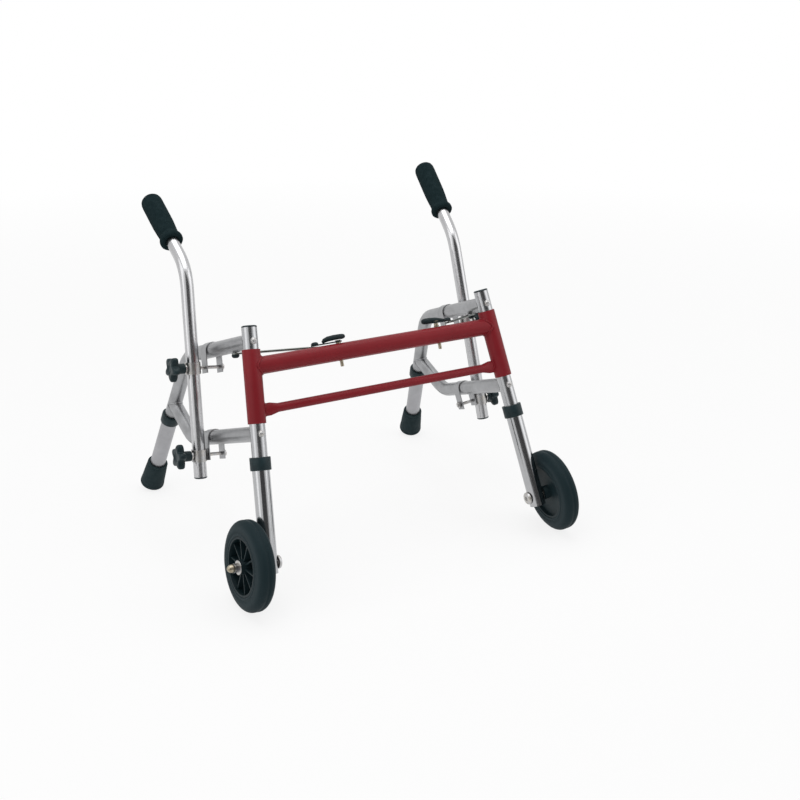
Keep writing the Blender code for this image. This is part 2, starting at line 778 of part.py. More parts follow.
def handle(side):
    up = side.handle_up()
    rear = side.rearward - up * side.rearward.dot(up)
    turn = Matrix.Rotation(-side.handle_yaw * side.sign, 3, up)
    rear = (turn @ rear).normalized()
    bottom = side.handle_at(HANDLE_BOTTOM_DOWN)
    bend = side.handle_bend
    bend_half = HANDLE_BEND_R * math.tan(bend / 2)
    corner = bottom + up * (HANDLE_STRAIGHT + bend_half)
    onward = up * math.cos(bend) + rear * math.sin(bend)
    grip_start = corner + onward * (bend_half + HANDLE_TAIL)
    end = grip_start + onward * (GRIP_LENGTH - GRIP_END_WALL - GAP)
    path = [bottom, *rounded_corner(bottom, corner, end, HANDLE_BEND_R), end]
    tube = bent_tube(side.node("handle_tube"), path, HANDLE_R, HANDLE_WALL)
    hang_on(tube, axes_at(bottom, up, side.outward))
    finish(tube, BRIGHT, 1.0, 0.15)
    bore = HANDLE_R + GAP
    outline = [
        (0, GRIP_LENGTH - GRIP_END_WALL),
        (bore, GRIP_LENGTH - GRIP_END_WALL),
        (bore, 0),
        (GRIP_FLANGE_R * 0.86, 0),
        (GRIP_FLANGE_R * 0.97, GRIP_FLANGE_THICK * 0.2),
        (GRIP_FLANGE_R, GRIP_FLANGE_THICK * 0.5),
        (GRIP_FLANGE_R * 0.97, GRIP_FLANGE_THICK * 0.85),
        (GRIP_NECK_R * 1.03, GRIP_FLANGE_THICK * 1.3),
        (GRIP_NECK_R, GRIP_NECK),
        (GRIP_R, GRIP_SWELL),
        (GRIP_R, GRIP_LENGTH * 0.90),
        (GRIP_R * 0.93, GRIP_LENGTH * 0.96),
        (GRIP_R * 0.78, GRIP_LENGTH * 0.99),
        (GRIP_R * 0.60, GRIP_LENGTH),
        (0, GRIP_LENGTH),
    ]
    grip = turned(side.node("handle_grip"), outline)
    place(grip, grip_start, onward, side.outward)
    finish(grip, FOAM, 0.0, 0.9)


# Clamps


def saddle(side, level, rail_down, rear):
    """Sheet bent over the rail, seen along the rail: its own X is down and its own Y is out."""
    inner = TUBE_R + GAP
    outer = inner + SADDLE_WALL
    half_turn = [math.pi * step / SMALL_ROUND for step in range(SMALL_ROUND + 1)]
    outline = [(SADDLE_LEG, outer)]
    outline += [(-outer * math.sin(angle), outer * math.cos(angle)) for angle in half_turn]
    outline += [(SADDLE_LEG, -outer), (SADDLE_LEG, -inner)]
    outline += [(-inner * math.sin(angle), -inner * math.cos(angle)) for angle in half_turn]
    outline += [(SADDLE_LEG, inner)]
    obj = extruded(side.node(f"{level}_saddle"), outline, -SADDLE_HALF_WIDTH, SADDLE_HALF_WIDTH)
    place(obj, side.at(0, rear, rail_down), side.rearward, side.downward)
    hang_on(obj, side.fold_axis())
    return obj


def clamp(side, level, rail_down, ring_down):
    ring_at = side.handle_at(ring_down)
    local = side.frame.inverted() @ ring_at
    out, rear = side.sign * local.x, local.y
    bracket = saddle(side, level, rail_down, rear)
    saddle_out = TUBE_R + GAP + SADDLE_WALL
    hole = rod(side.node(f"{level}_saddle_hole"), BOLT_R + GAP, -2 * saddle_out, 2 * saddle_out)
    cut(bracket, place(hole, side.at(0, rear, ring_down), side.outward, side.downward))
    finish(bracket, SATIN, 1.0, 0.3)

    ring_in = HANDLE_R + GAP
    ring_out = ring_in + RING_WALL
    eye = pipe(side.node(f"{level}_eye_bolt"), ring_out, ring_in, -RING_HALF, RING_HALF)
    place(eye, ring_at, side.handle_up(), side.outward)
    hang_on(eye, side.fold_axis())
    nut_from = saddle_out + GAP
    shank_end = nut_from + NUT_THICK + SHANK_PAST_NUT
    wall_middle = ring_in + RING_WALL * 0.6
    shank = rod(side.node(f"{level}_shank"), BOLT_R, -shank_end - out, -wall_middle)
    join(eye, place(shank, ring_at, side.outward, side.downward))
    boss = rod(side.node(f"{level}_boss"), BOLT_BOSS_R, wall_middle, BOLT_BOSS_OUT)
    join(eye, place(boss, ring_at, side.outward, side.downward))
    stud_end = BOLT_BOSS_OUT + CUT_PAST
    stud_hole = rod(side.node(f"{level}_stud_hole"), BOLT_R + GAP, STUD_HOLE_FROM, stud_end)
    cut(eye, place(stud_hole, ring_at, side.outward, side.downward))
    finish(eye, STEEL, 1.0, 0.3)

    placing = axes_at(side.at(0, rear, ring_down), -side.outward, side.downward)
    name = side.node(f"{level}_clamp_nut")
    nut = hex_nut(name, NUT_R, BOLT_R + GAP, nut_from, nut_from + NUT_THICK, placing)
    hang_on(nut, side.fold_axis())
    knob(side, level, ring_at)


def knob(side, level, ring_at):
    steps = KNOB_LOBES * LOBE_STEPS
    outline = []
    for step in range(steps):
        angle = math.tau * step / steps
        radius = KNOB_R + KNOB_LOBE_DEPTH * math.cos(KNOB_LOBES * angle)
        outline.append((radius * math.cos(angle), radius * math.sin(angle)))
    head_end = side.knob_from + KNOB_HEAD_THICK
    head = extruded(side.node(f"{level}_knob"), outline, side.knob_from, head_end)
    place(head, ring_at, side.outward, side.downward)
    edge = head.modifiers.new("edge", "BEVEL")
    edge.width = KNOB_EDGE
    edge.segments = 1
    edge.limit_method = "ANGLE"
    edge.angle_limit = math.radians(50)
    stud_from = HANDLE_R + GAP
    outline = [
        (0, stud_from),
        (BOLT_R, stud_from),
        (BOLT_R, KNOB_BOSS_FROM),
        (KNOB_BOSS_R, KNOB_BOSS_FROM),
        (KNOB_BOSS_R * 1.1, side.knob_from + KNOB_EDGE),
        (0, side.knob_from + KNOB_EDGE),
    ]
    boss = turned(side.node(f"{level}_knob_boss"), outline, ROUND)
    join(head, place(boss, ring_at, side.outward, side.downward))
    finish(head, BLACK, 0.0, 0.4)


# Fold brace and latch lever


def stadium(length, half_width):
    """The outline of a flat bar from (0, 0) to (length, 0), with round ends."""
    half_turn = [math.pi * (step / BAR_ROUND - 0.5) for step in range(BAR_ROUND + 1)]
    points = [
        (length + half_width * math.cos(angle), half_width * math.sin(angle))
        for angle in half_turn
    ]
    points += [(-half_width * math.cos(angle), -half_width * math.sin(angle)) for angle in half_turn]
    return points


def latch(side):
    pivot = side.at(0, BRACE_PIVOT_REAR, BRACE_TOP_DOWN)
    pin = pin_place(side) + lean_up() * lever_lift(side)
    toward = lever_direction(side)
    brace_end = pin + toward * LEVER_REACH
    brace_line = brace_end - pivot
    brace_line -= side.downward * brace_line.dot(side.downward)
    brace = extruded(
        side.node("fold_brace"), stadium(brace_line.length, BRACE_HALF_WIDTH), 0, BRACE_THICK
    )
    place(brace, pivot, side.downward, brace_line)
    hole = rod(side.node("brace_hole"), STUD_R + GAP, -CUT_PAST, CUT_PAST)
    cut(brace, place(hole, pivot, side.downward, brace_line))
    finish(brace, STEEL, 1.0, 0.35)

    lever = extruded(
        side.node("latch_lever"), stadium(LEVER_REACH, LEVER_HALF_WIDTH), 0, LEVER_THICK
    )
    place(lever, pin, lean_up(), toward)
    tip = Vector((-side.sign * HANDLE_TIP_IN, 0, 0))
    rear = Vector((0, math.cos(POST_LEAN), -math.sin(POST_LEAN)))
    tip += rear * HANDLE_TIP_REAR
    arm_outline = stadium(tip.length, LEVER_HALF_WIDTH * 0.9)
    arm = extruded(side.node("lever_arm"), arm_outline, 0, LEVER_THICK)
    join(lever, place(arm, pin, lean_up(), tip))
    hole = rod(side.node("lever_hole"), PIN_R + GAP, -CUT_PAST, CUT_PAST)
    cut(lever, place(hole, pin, lean_up(), toward))
    rivet = rod(side.node("rivet"), RIVET_R, LEVER_THICK * 0.5, LEVER_THICK + RIVET_THICK)
    join(lever, place(rivet, brace_end, lean_up(), toward))
    finish(lever, STEEL, 1.0, 0.3)


def main():
    clear_scene()
    left = Side(
        "left",
        -1,
        PIN_FROM_POST_LEFT,
        HANDLE_BEND_LEFT,
        HANDLE_YAW_LEFT,
        KNOB_HEAD_FROM_LEFT,
    )
    right = Side(
        "right",
        1,
        PIN_FROM_POST_RIGHT,
        HANDLE_BEND_RIGHT,
        HANDLE_YAW_RIGHT,
        KNOB_HEAD_FROM_RIGHT,
    )
    sides = (left, right)
    height = ground_height(right)
    for side in sides:
        side.stand_at(0, height)
    front = right.at(0, 0, AXLE_DOWN).y - WHEEL_R
    foot = right.on_leg(foot_along(right))
    rear = foot.y + FOOT_BASE_R * math.sqrt(1 - right.leg_dir.y**2)
    for side in sides:
        side.stand_at(-(front + rear) / 2, height)
    crossbar(sides)
    lower_crossbar(sides)
    for side in sides:
        sleeve(side)
        latch_pin(side)
        pivot_post(side)
        post_cap(side)
        upper_rail(side)
        lower_rail(side)
        front_leg(side)
        axle(side)
        wheel(side)
        rear_leg(side)
        rear_foot(side)
        handle(side)
        clamp(side, "upper", UPPER_RAIL_DOWN, UPPER_RING_DOWN)
        clamp(side, "lower", LOWER_RAIL_DOWN, LOWER_RING_DOWN)
        latch(side)


main()
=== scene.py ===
"""The folding walker dressed for the picture: materials, small parts, studio and camera."""

import json
import math

import bmesh
import bpy
from mathutils import Matrix, Vector


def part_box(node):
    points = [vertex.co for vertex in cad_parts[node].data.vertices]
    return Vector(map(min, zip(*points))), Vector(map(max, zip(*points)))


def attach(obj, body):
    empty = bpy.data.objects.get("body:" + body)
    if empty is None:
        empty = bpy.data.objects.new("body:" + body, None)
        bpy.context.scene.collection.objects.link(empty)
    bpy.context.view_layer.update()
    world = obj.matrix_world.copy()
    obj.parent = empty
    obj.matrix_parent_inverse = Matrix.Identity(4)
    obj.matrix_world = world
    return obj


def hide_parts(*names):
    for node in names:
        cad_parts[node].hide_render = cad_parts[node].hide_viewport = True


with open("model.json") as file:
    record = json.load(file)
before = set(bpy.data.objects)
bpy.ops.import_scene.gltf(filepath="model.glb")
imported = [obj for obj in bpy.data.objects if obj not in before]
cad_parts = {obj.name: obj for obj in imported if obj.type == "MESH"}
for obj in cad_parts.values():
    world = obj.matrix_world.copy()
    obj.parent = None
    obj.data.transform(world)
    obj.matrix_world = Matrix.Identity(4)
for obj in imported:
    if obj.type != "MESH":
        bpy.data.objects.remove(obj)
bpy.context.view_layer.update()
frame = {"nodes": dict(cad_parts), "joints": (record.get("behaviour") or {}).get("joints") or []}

SIDES = ("left", "right")
SIGN = {"left": -1, "right": 1}
LEVELS = ("upper", "lower")

# Sizes that the source also states
TUBE_R = 0.0127
OUTER_TUBE_R = 0.0143
HANDLE_R = 0.0111
SLEEVE_R = 0.0150
CROSSBAR_R = 0.0145
LOWER_BAR_HALF_WIDTH = 0.0105
LOWER_BAR_HALF_THICK = 0.0034
CROSSBAR_DOWN = 0.0633
LOWER_BAR_DOWN = 0.1349
UPPER_RAIL_DOWN = 0.0226
LOWER_RAIL_DOWN = 0.1706
UPPER_CORNER_REAR = 0.2585
LOWER_CORNER_REAR = 0.264
JUNCTION_ALONG = 0.117
AXLE_DOWN = 0.3771
WHEEL_R = 0.0735
WHEEL_IN = 0.0180
WHEEL_OUT = 0.0495
HUB_R = 0.0481
FOOT_HEIGHT = 0.0565
FOOT_TOP_R = 0.0190
FOOT_BASE_R = 0.0225
UPPER_RING_DOWN = 0.0510
LOWER_RING_DOWN = 0.1990
HANDLE_BOTTOM_DOWN = 0.236
HANDLE_STRAIGHT = 0.3234
HANDLE_BEND = {"left": math.radians(50), "right": math.radians(42)}
HANDLE_BEND_R = 0.070
HANDLE_TAIL = 0.0356
HANDLE_YAW = {"left": math.radians(-1), "right": math.radians(9)}
GRIP_LENGTH = 0.118
GRIP_R = 0.0188
GRIP_NECK_R = 0.0170
GRIP_FLANGE_R = 0.0202
KNOB_FROM = {"left": 0.0300, "right": 0.0205}
KNOB_THICK = 0.0125
KNOB_LOBES = 5
KNOB_BOSS_R = 0.0088
KNOB_BOSS_FROM = 0.0153
BRACE_PIVOT_REAR = 0.060
BRACE_TOP_DOWN = 0.0357
LEVER_REACH = 0.039
LEVER_HALF_WIDTH = 0.0065
LEVER_OVER_BRACE = 0.0004
LEVER_THICK = 0.0020
BRACE_THICK = 0.0025
BRACE_HALF_WIDTH = 0.006
PIN_R = 0.003
AXLE_R = 0.004

# Tyres, knobs and pin tips nearer to the photo than the source has them
TREAD_IN = 0.0295
TREAD_OUT = 0.0380
SIDEWALL_R = 0.0560
KNOB_R = 0.0176
KNOB_LOBE_DEPTH = 0.0043
KNOB_TURN = {"upper": math.radians(15), "lower": math.radians(36)}
PIN_TIP = 0.0100

# Sizes of the small parts, which only this script has
CLEARANCE = 0.0003
SEAT_GAP = 0.0004
BOLT_HEAD_HEIGHT = 0.0052
BOLT_END = 0.0640
NUT_FLANGE_FROM = 0.0524
DOME_FROM = 0.0612
PIN_COLLAR_HEIGHT = 0.0026
TREAD_GROOVE_HALF = 0.0022
TREAD_GROOVE_DEPTH = 0.0006
BAND_FROM = 0.0220
BAND_SHORT_OF_RIVET = 0.0100
BAND_PROUD_ACROSS = 0.0006
BAND_PROUD_THROUGH = 0.0007
CROSSBAR_BEAD = 0.0021
LOWER_BAR_BEAD = 0.0016
LEG_BEAD = 0.0015

# How finely round shapes are divided
EYE_STEPS = 48
KNOB_STEPS = 80
WELD_STEPS = 72
WELD_RIPPLES = 18
WELD_RIPPLE_SHARE = 0.10
SHOULDER_STEPS = 8

# Shading: points nearer than these become one, and edges sharper than these stay crisp
SAME_POINT = 1e-6
MERGE_WITHIN = 0.00001
BEVEL_FROM = math.radians(38)
CRISP_FROM = math.radians(32)

# Finger grips of the levers: inward, rearward, height, half width and half height
LEVER_GRIP = {
    "left": [
        (-0.0256, 0.0068, 0.0030, 0.0010, 0.0010),
        (-0.0249, 0.0067, 0.0036, 0.0032, 0.0023),
        (-0.0220, 0.0062, 0.0062, 0.0046, 0.0037),
        (-0.0160, 0.0050, 0.0080, 0.0054, 0.0043),
        (-0.0060, 0.0042, 0.0088, 0.0058, 0.0044),
        (0.0040, 0.0050, 0.0089, 0.0060, 0.0044),
        (0.0105, 0.0062, 0.0087, 0.0057, 0.0044),
        (0.0138, 0.0068, 0.0086, 0.0048, 0.0038),
        (0.0156, 0.0072, 0.0085, 0.0032, 0.0026),
        (0.0162, 0.0073, 0.0085, 0.0012, 0.0010),
    ],
    "right": [
        (-0.0320, 0.0085, 0.0016, 0.0010, 0.0006),
        (-0.0310, 0.0083, 0.0018, 0.0028, 0.0012),
        (-0.0220, 0.0068, 0.0026, 0.0044, 0.0020),
        (-0.0120, 0.0052, 0.0038, 0.0056, 0.0034),
        (-0.0020, 0.0044, 0.0050, 0.0064, 0.0047),
        (0.0080, 0.0052, 0.0055, 0.0068, 0.0052),
        (0.0170, 0.0066, 0.0056, 0.0066, 0.0052),
        (0.0208, 0.0072, 0.0056, 0.0054, 0.0044),
        (0.0228, 0.0076, 0.0056, 0.0036, 0.0030),
        (0.0235, 0.0077, 0.0056, 0.0012, 0.0010),
    ],
}

# Camera, placed from the right post's cap
CAMERA_FROM_CAP = Vector((-1.12893, -1.7287606, 0.59699))
CAMERA_AZIMUTH = math.radians(-29.2315)
CAMERA_ELEVATION = math.radians(21.3045)
CAMERA_ROLL = math.radians(0.3513)
CAMERA_LENS = 54.55
CAMERA_SENSOR = 36

# Floor: its own white takes over from the shaded one with the distance from the object
FLOOR_HALF = 60
FLOOR_DROP = 0.0008
FLOOR_WHITE_SHARE = (0.82, 1.0)
FLOOR_WHITE_DISTANCE = (0.7, 3.2)

# Room light, with a darker side that metal mirrors
ROOM_LIGHT = 0.42
DARK_SIDE = Vector((-0.44, -0.90, 0.05)).normalized()
DARK_SIDE_EDGE = (0.60, 0.75)
DARK_SIDE_LEVELS = (0.92, 0.09)

# Lamps: name, place, aim, size and watts
LAMPS = (
    ("top_light", (0.0, 0.0, 2.6), (0, 0, 0.2), (2.4, 2.4), 34),
    ("left_light", (-2.6, -0.8, 1.5), (0, 0, 0.25), (3.2, 2.8), 26),
    ("right_light", (2.4, -1.6, 1.6), (0, 0, 0.25), (2.2, 2.4), 16),
)

# Colours of the black parts
GREY_RUBBER = (0.008, 0.019, 0.023)
# Painted highlight: a lighter rubber shade for the tyre's rings where its bead and shoulder catch
# the light
PAINTED_HIGHLIGHT_RUBBER = (0.018, 0.031, 0.036)
DEEP_BLACK = (0.006, 0.015, 0.018)
WARM_BLACK = (0.010, 0.021, 0.025)
WHEEL_SPAN = 0.08
WHEEL_SPECK = 0.002

# Tube finishes: tint, roughness, streaks and clouds
TUBE_FINISHES = {
    "bright_post": ((0.45, 0.455, 0.465), 0.20, 0.08, 0.12),
    "bright_leg": ((0.46, 0.465, 0.475), 0.12, 0.08, 0.10),
    "bright_stem": ((0.53, 0.53, 0.54), 0.19, 0.08, 0.10),
    "satin_rail": ((0.40, 0.405, 0.415), 0.30, 0.12, 0.34),
    "satin_leg": ((0.40, 0.40, 0.415), 0.32, 0.10, 0.20),
}

# What each node of a side wears, and the width of its bevel
WEARS = (
    ("sleeve", "paint", 0.0004),
    ("latch_pin", "yellow", 0.0),
    ("pivot_post", "bright_post", 0.0),
    ("front_leg_tube", "bright_leg", 0.0),
    ("upper_rail", "satin_rail", 0.0),
    ("lower_rail", "satin_rail", 0.0),
    ("rear_leg_tube", "satin_leg", 0.0),
    ("handle_tube", "bright_stem", 0.0),
    ("fold_brace", "dull", 0.0),
    ("axle_bolt", "steel", 0.0),
    ("front_snap_button", "steel", 0.0),
    ("rear_snap_button", "steel", 0.0),
    ("latch_lever", "vinyl", 0.0),
    ("axle_nut", "steel", 0.0003),
    ("post_cap", "plastic", 0.0004),
    ("front_collar", "plastic", 0.0005),
    ("rear_collar", "plastic", 0.0005),
    ("rear_foot", "rubber", 0.0008),
    ("handle_grip", "soft", 0.0008),
    ("wheel_tyre", "tyre", 0.0),
    ("wheel_hub", "hub", 0.0005),
)
WEARS_AT_BOTH_LEVELS = (
    ("saddle", "satin_rail", 0.0),
    ("eye_bolt", "steel", 0.0),
    ("clamp_nut", "steel", 0.0003),
    ("knob", "plastic", 0.0),
)


# Places and directions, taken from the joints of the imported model


def joint(name):
    return next(item for item in frame["joints"] if item["name"] == name)


class Side:
    """One side's directions: out, rear and down from the cap of its post."""

    def __init__(self, name):
        self.name = name
        self.sign = SIGN[name]
        self.cap = Vector(joint(f"fold_{name}")["pos_m"])
        self.down = -Vector(joint(f"fold_{name}")["axis"])
        self.rear = -Vector(joint(f"front_button_press_{name}")["axis"])
        self.out = Vector(joint(f"wheel_spin_{name}")["axis"])
        self.leg = Vector(joint(f"rear_leg_slide_{name}")["axis"])
        self.handle_up = Vector(joint(f"handle_slide_{name}")["axis"])
        self.pin = Vector(joint(f"latch_turn_{name}")["pos_m"])
        self.lean_up = Vector(joint(f"latch_turn_{name}")["axis"])
        self.upper_ring = Vector(joint(f"upper_knob_turn_{name}")["pos_m"])
        self.lower_ring = Vector(joint(f"lower_knob_turn_{name}")["pos_m"])
        self.axle = self.at(0, 0, AXLE_DOWN)
        span = LOWER_RING_DOWN - UPPER_RING_DOWN
        share = (HANDLE_BOTTOM_DOWN - UPPER_RING_DOWN) / span
        self.handle_bottom = self.upper_ring.lerp(self.lower_ring, share)
        low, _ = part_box(f"rear_foot_{name}")
        edge = FOOT_BASE_R * math.sqrt(1 - self.leg.z**2)
        corner = self.on_leg(0)
        self.foot_base = self.on_leg((low.z + edge - corner.z) / self.leg.z)

    def at(self, out, rear, down):
        return self.cap + self.out * out + self.rear * rear + self.down * down

    def on_leg(self, along):
        return self.at(0, UPPER_CORNER_REAR, UPPER_RAIL_DOWN) + self.leg * along


def grip_placing(side):
    """Where the foam grip starts on the handle, with Z along the grip."""
    up = side.handle_up
    rear = side.rear - up * side.rear.dot(up)
    rear = Matrix.Rotation(-HANDLE_YAW[side.name] * side.sign, 3, up) @ rear
    bend = HANDLE_BEND[side.name]
    half = HANDLE_BEND_R * math.tan(bend / 2)
    onward = up * math.cos(bend) + rear.normalized() * math.sin(bend)
    start = side.handle_bottom + up * (HANDLE_STRAIGHT + half) + onward * (half + HANDLE_TAIL)
    return axes_at(start, onward, side.out)


def lever_arm(side):
    """The way from the latch pin to the brace's stud, square to the pin."""
    toward = side.at(0, BRACE_PIVOT_REAR, BRACE_TOP_DOWN) - side.pin
    return (toward - side.lean_up * toward.dot(side.lean_up)).normalized()


def lever_height(side):
    """How far the lever's underside lies above the crossbar's axis."""
    end = side.pin + lever_arm(side) * (LEVER_REACH + LEVER_HALF_WIDTH)
    rise = (side.at(0, 0, BRACE_TOP_DOWN) - end).dot(side.down) / side.lean_up.dot(side.down)
    return rise + LEVER_OVER_BRACE


def axes_at(point, z_axis, x_hint):
    """A placing whose own Z runs along z_axis and whose X is as near x_hint as it can be."""
    z = z_axis.normalized()
    x = (x_hint - z * x_hint.dot(z)).normalized()
    placing = Matrix((x, z.cross(x), z)).transposed().to_4x4()
    placing.translation = point
    return placing


# Materials


class Nodes:
    """A short way to write a node tree."""

    def __init__(self, tree):
        self.tree = tree

    def node(self, kind, **settings):
        made = self.tree.nodes.new(kind)
        for key, value in settings.items():
            setattr(made, key, value)
        return made

    def link(self, source, target):
        self.tree.links.new(source, target)

    def noise(self, vector, scale, detail=3.0, roughness=0.5):
        made = self.node("ShaderNodeTexNoise")
        made.inputs["Scale"].default_value = scale
        made.inputs["Detail"].default_value = detail
        made.inputs["Roughness"].default_value = roughness
        self.link(vector, made.inputs["Vector"])
        return made.outputs["Fac"]

    def range(self, fac, low, high, from_low=0.0, from_high=1.0, kind="LINEAR"):
        made = self.node("ShaderNodeMapRange", interpolation_type=kind)
        made.inputs["From Min"].default_value = from_low
        made.inputs["From Max"].default_value = from_high
        made.inputs["To Min"].default_value = low
        made.inputs["To Max"].default_value = high
        self.link(fac, made.inputs["Value"])
        return made.outputs["Result"]

    def mixed(self, share, first, second):
        """A number between first and second, each of which is a value or a socket."""
        made = self.node("ShaderNodeMix", data_type="FLOAT")
        self.link(share, made.inputs["Factor"])
        for value, target in ((first, made.inputs["A"]), (second, made.inputs["B"])):
            if isinstance(value, float):
                target.default_value = value
            else:
                self.link(value, target)
        return made.outputs["Result"]


class Shader(Nodes):
    """A short way to write a node material."""

    def __init__(self, name):
        self.material = bpy.data.materials.new(name)
        self.material.use_nodes = True
        super().__init__(self.material.node_tree)
        self.bsdf = self.tree.nodes["Principled BSDF"]

    def set(self, **values):
        """Sets the shader's own sockets, with _ for each space in a socket's name."""
        for key, value in values.items():
            self.bsdf.inputs[key.replace("_", " ")].default_value = value

    def place(self, matrix=None, scale=(1, 1, 1)):
        """Object coordinates, turned so that Z runs along the given placing."""
        coords = self.node("ShaderNodeTexCoord")
        first = self.node("ShaderNodeMapping", vector_type="POINT")
        if matrix is not None:
            inverse = matrix.inverted()
            first.inputs["Location"].default_value = inverse.to_translation()
            first.inputs["Rotation"].default_value = inverse.to_euler("XYZ")
        second = self.node("ShaderNodeMapping", vector_type="POINT")
        second.inputs["Scale"].default_value = scale
        self.link(coords.outputs["Object"], first.inputs["Vector"])
        self.link(first.outputs["Vector"], second.inputs["Vector"])
        return second.outputs["Vector"]

    def ramp(self, fac, stops):
        """Colours by position, each stop being a position and a colour."""
        made = self.node("ShaderNodeValToRGB")
        elements = made.color_ramp.elements
        while len(elements) < len(stops):
            elements.new(0.5)
        for element, (position, colour) in zip(elements, stops):
            element.position = position
            element.color = (*colour, 1)
        self.link(fac, made.inputs["Fac"])
        return made.outputs["Color"]

    def bump(self, height, strength, distance, below=None):
        made = self.node("ShaderNodeBump")
        made.inputs["Strength"].default_value = strength
        made.inputs["Distance"].default_value = distance
        self.link(height, made.inputs["Height"])
        if below is not None:
            self.link(below, made.inputs["Normal"])
        self.link(made.outputs["Normal"], self.bsdf.inputs["Normal"])
        return made.outputs["Normal"]

    def colour(self, socket):
        self.link(socket, self.bsdf.inputs["Base Color"])

    def roughness(self, socket):
        self.link(socket, self.bsdf.inputs["Roughness"])


def speckled(name, shades, clouds, grain, rough, relief=None, **settings):
    """A finish whose colour, roughness and relief each follow a noise of their own.

    clouds and grain give a noise's scale and detail, and relief adds a strength and a depth.
    """
    made = Shader(name)
    made.set(**settings)
    where = made.place()
    made.colour(made.ramp(made.noise(where, *clouds), shades))
    made.roughness(made.range(made.noise(where, *grain), *rough))
    if relief:
        scale, detail, strength, depth = relief
        made.bump(made.noise(where, scale, detail), strength, depth)
    return made.material


def red_paint():
    shades = [(0.3, (0.178, 0.009, 0.014)), (0.7, (0.212, 0.012, 0.018))]
    gloss = {"Coat_Weight": 0.05, "Coat_Roughness": 0.20, "Specular_IOR_Level": 0.16}
    relief = (420, 2, 0.10, 0.0003)
    return speckled("red_paint", shades, (14, 4), (60, 3), (0.36, 0.48), relief, **gloss)


def tube_metal(name, placing, tint, rough, streak, cloud):
    """Drawn aluminium: lines run along the tube, with a faint cloud over them."""
    made = Shader(name)
    made.set(Metallic=1.0)
    lines = made.noise(made.place(placing, (900, 900, 12)), 1.0, 3)
    clouds = made.noise(made.place(placing), 38, 4, 0.6)
    dark = tuple(value * (1 - cloud) for value in tint)
    made.colour(made.ramp(clouds, [(0.25, dark), (0.75, tint)]))
    mixed = made.node("ShaderNodeMath", operation="ADD")
    made.link(made.range(lines, rough, rough + streak), mixed.inputs[0])
    made.link(made.range(clouds, -cloud * 0.3, cloud * 0.3), mixed.inputs[1])
    made.roughness(mixed.outputs[0])
    made.bump(lines, 0.05, 0.0001)
    return made.material


def zinc(name, tint=(0.46, 0.46, 0.47), rough=(0.22, 0.42)):
    """Plated steel, a little warmer in patches."""
    warm = (tint[0] * 1.02, tint[1] * 0.97, tint[2] * 0.86)
    shades = [(0.35, tint), (0.75, warm)]
    relief = (900, 2, 0.08, 0.0001)
    return speckled(name, shades, (160, 4), (300, 3), rough, relief, Metallic=1.0)


def brass():
    shades = [(0.3, (0.26, 0.22, 0.16)), (0.7, (0.44, 0.40, 0.31))]
    return speckled("brass", shades, (220, 4), (400, 2), (0.25, 0.45), Metallic=1.0)


def black_plastic(name="black_plastic", base=(0.009, 0.019, 0.022), rough=0.40):
    """Moulded plastic with a fine grain."""
    lighter = tuple(value * 1.7 for value in base)
    shades = [(0.35, base), (0.8, lighter)]
    spread = (rough - 0.06, rough + 0.10)
    relief = (1500, 2, 0.12, 0.0002)
    return speckled(name, shades, (90, 4), (260, 3), spread, relief, Specular_IOR_Level=0.20)


def foot_rubber():
    shades = [(0.35, (0.010, 0.022, 0.025)), (0.8, (0.022, 0.036, 0.040))]
    clouds = (70, 5, 0.65)
    relief = (800, 3, 0.2, 0.0003)
    spread = (0.58, 0.78)
    return speckled("foot_rubber", shades, clouds, (200, 3), spread, relief, Specular_IOR_Level=0.14)


def foam():
    """Closed-cell foam: fine pits and a soft sheen."""
    made = Shader("foam")
    made.set(Roughness=0.92, Specular_IOR_Level=0.06)
    where = made.place()
    shades = [(0.3, (0.007, 0.016, 0.018)), (0.8, (0.014, 0.026, 0.029))]
    made.colour(made.ramp(made.noise(where, 120, 4), shades))
    cells = made.node("ShaderNodeTexVoronoi", feature="F1")
    cells.inputs["Scale"].default_value = 950
    made.link(where, cells.inputs["Vector"])
    made.bump(cells.outputs["Distance"], 0.5, 0.0006)
    return made.material


def wheel_shader(name, side, stops, rough, grooves):
    """Colour follows the distance from the axle in rings; on the tyre the lighter rings are painted
    highlights where the bead and the shoulder catch the light.

    grooves says how close the fine rings lie, in radians for each metre outward.
    """
    made = Shader(name)
    made.set(Specular_IOR_Level=0.13)
    placing = axes_at(side.axle, side.out, side.down)
    where = made.place(placing)
    split = made.node("ShaderNodeSeparateXYZ")
    made.link(where, split.inputs["Vector"])
    flat = made.node("ShaderNodeCombineXYZ")
    made.link(split.outputs["X"], flat.inputs["X"])
    made.link(split.outputs["Y"], flat.inputs["Y"])
    radius = made.node("ShaderNodeVectorMath", operation="LENGTH")
    made.link(flat.outputs["Vector"], radius.inputs[0])
    speck = made.noise(where, 130, 4)
    offset = made.node("ShaderNodeMath", operation="MULTIPLY_ADD")
    offset.inputs[1].default_value = WHEEL_SPECK
    made.link(speck, offset.inputs[0])
    made.link(radius.outputs["Value"], offset.inputs[2])
    spread = made.range(offset.outputs[0], 0.0, 1.0, 0.0, WHEEL_SPAN)
    made.colour(made.ramp(spread, [(at / WHEEL_SPAN, colour) for at, colour in stops]))
    made.roughness(made.range(made.noise(where, 240, 3), rough - 0.06, rough + 0.1))
    rings = made.node("ShaderNodeMath", operation="SINE")
    many = made.node("ShaderNodeMath", operation="MULTIPLY")
    many.inputs[1].default_value = grooves
    made.link(radius.outputs["Value"], many.inputs[0])
    made.link(many.outputs[0], rings.inputs[0])
    fine = made.bump(made.noise(where, 900, 3), 0.15, 0.0003)
    made.bump(rings.outputs[0], 0.12, 0.0002, below=fine)
    return made.material


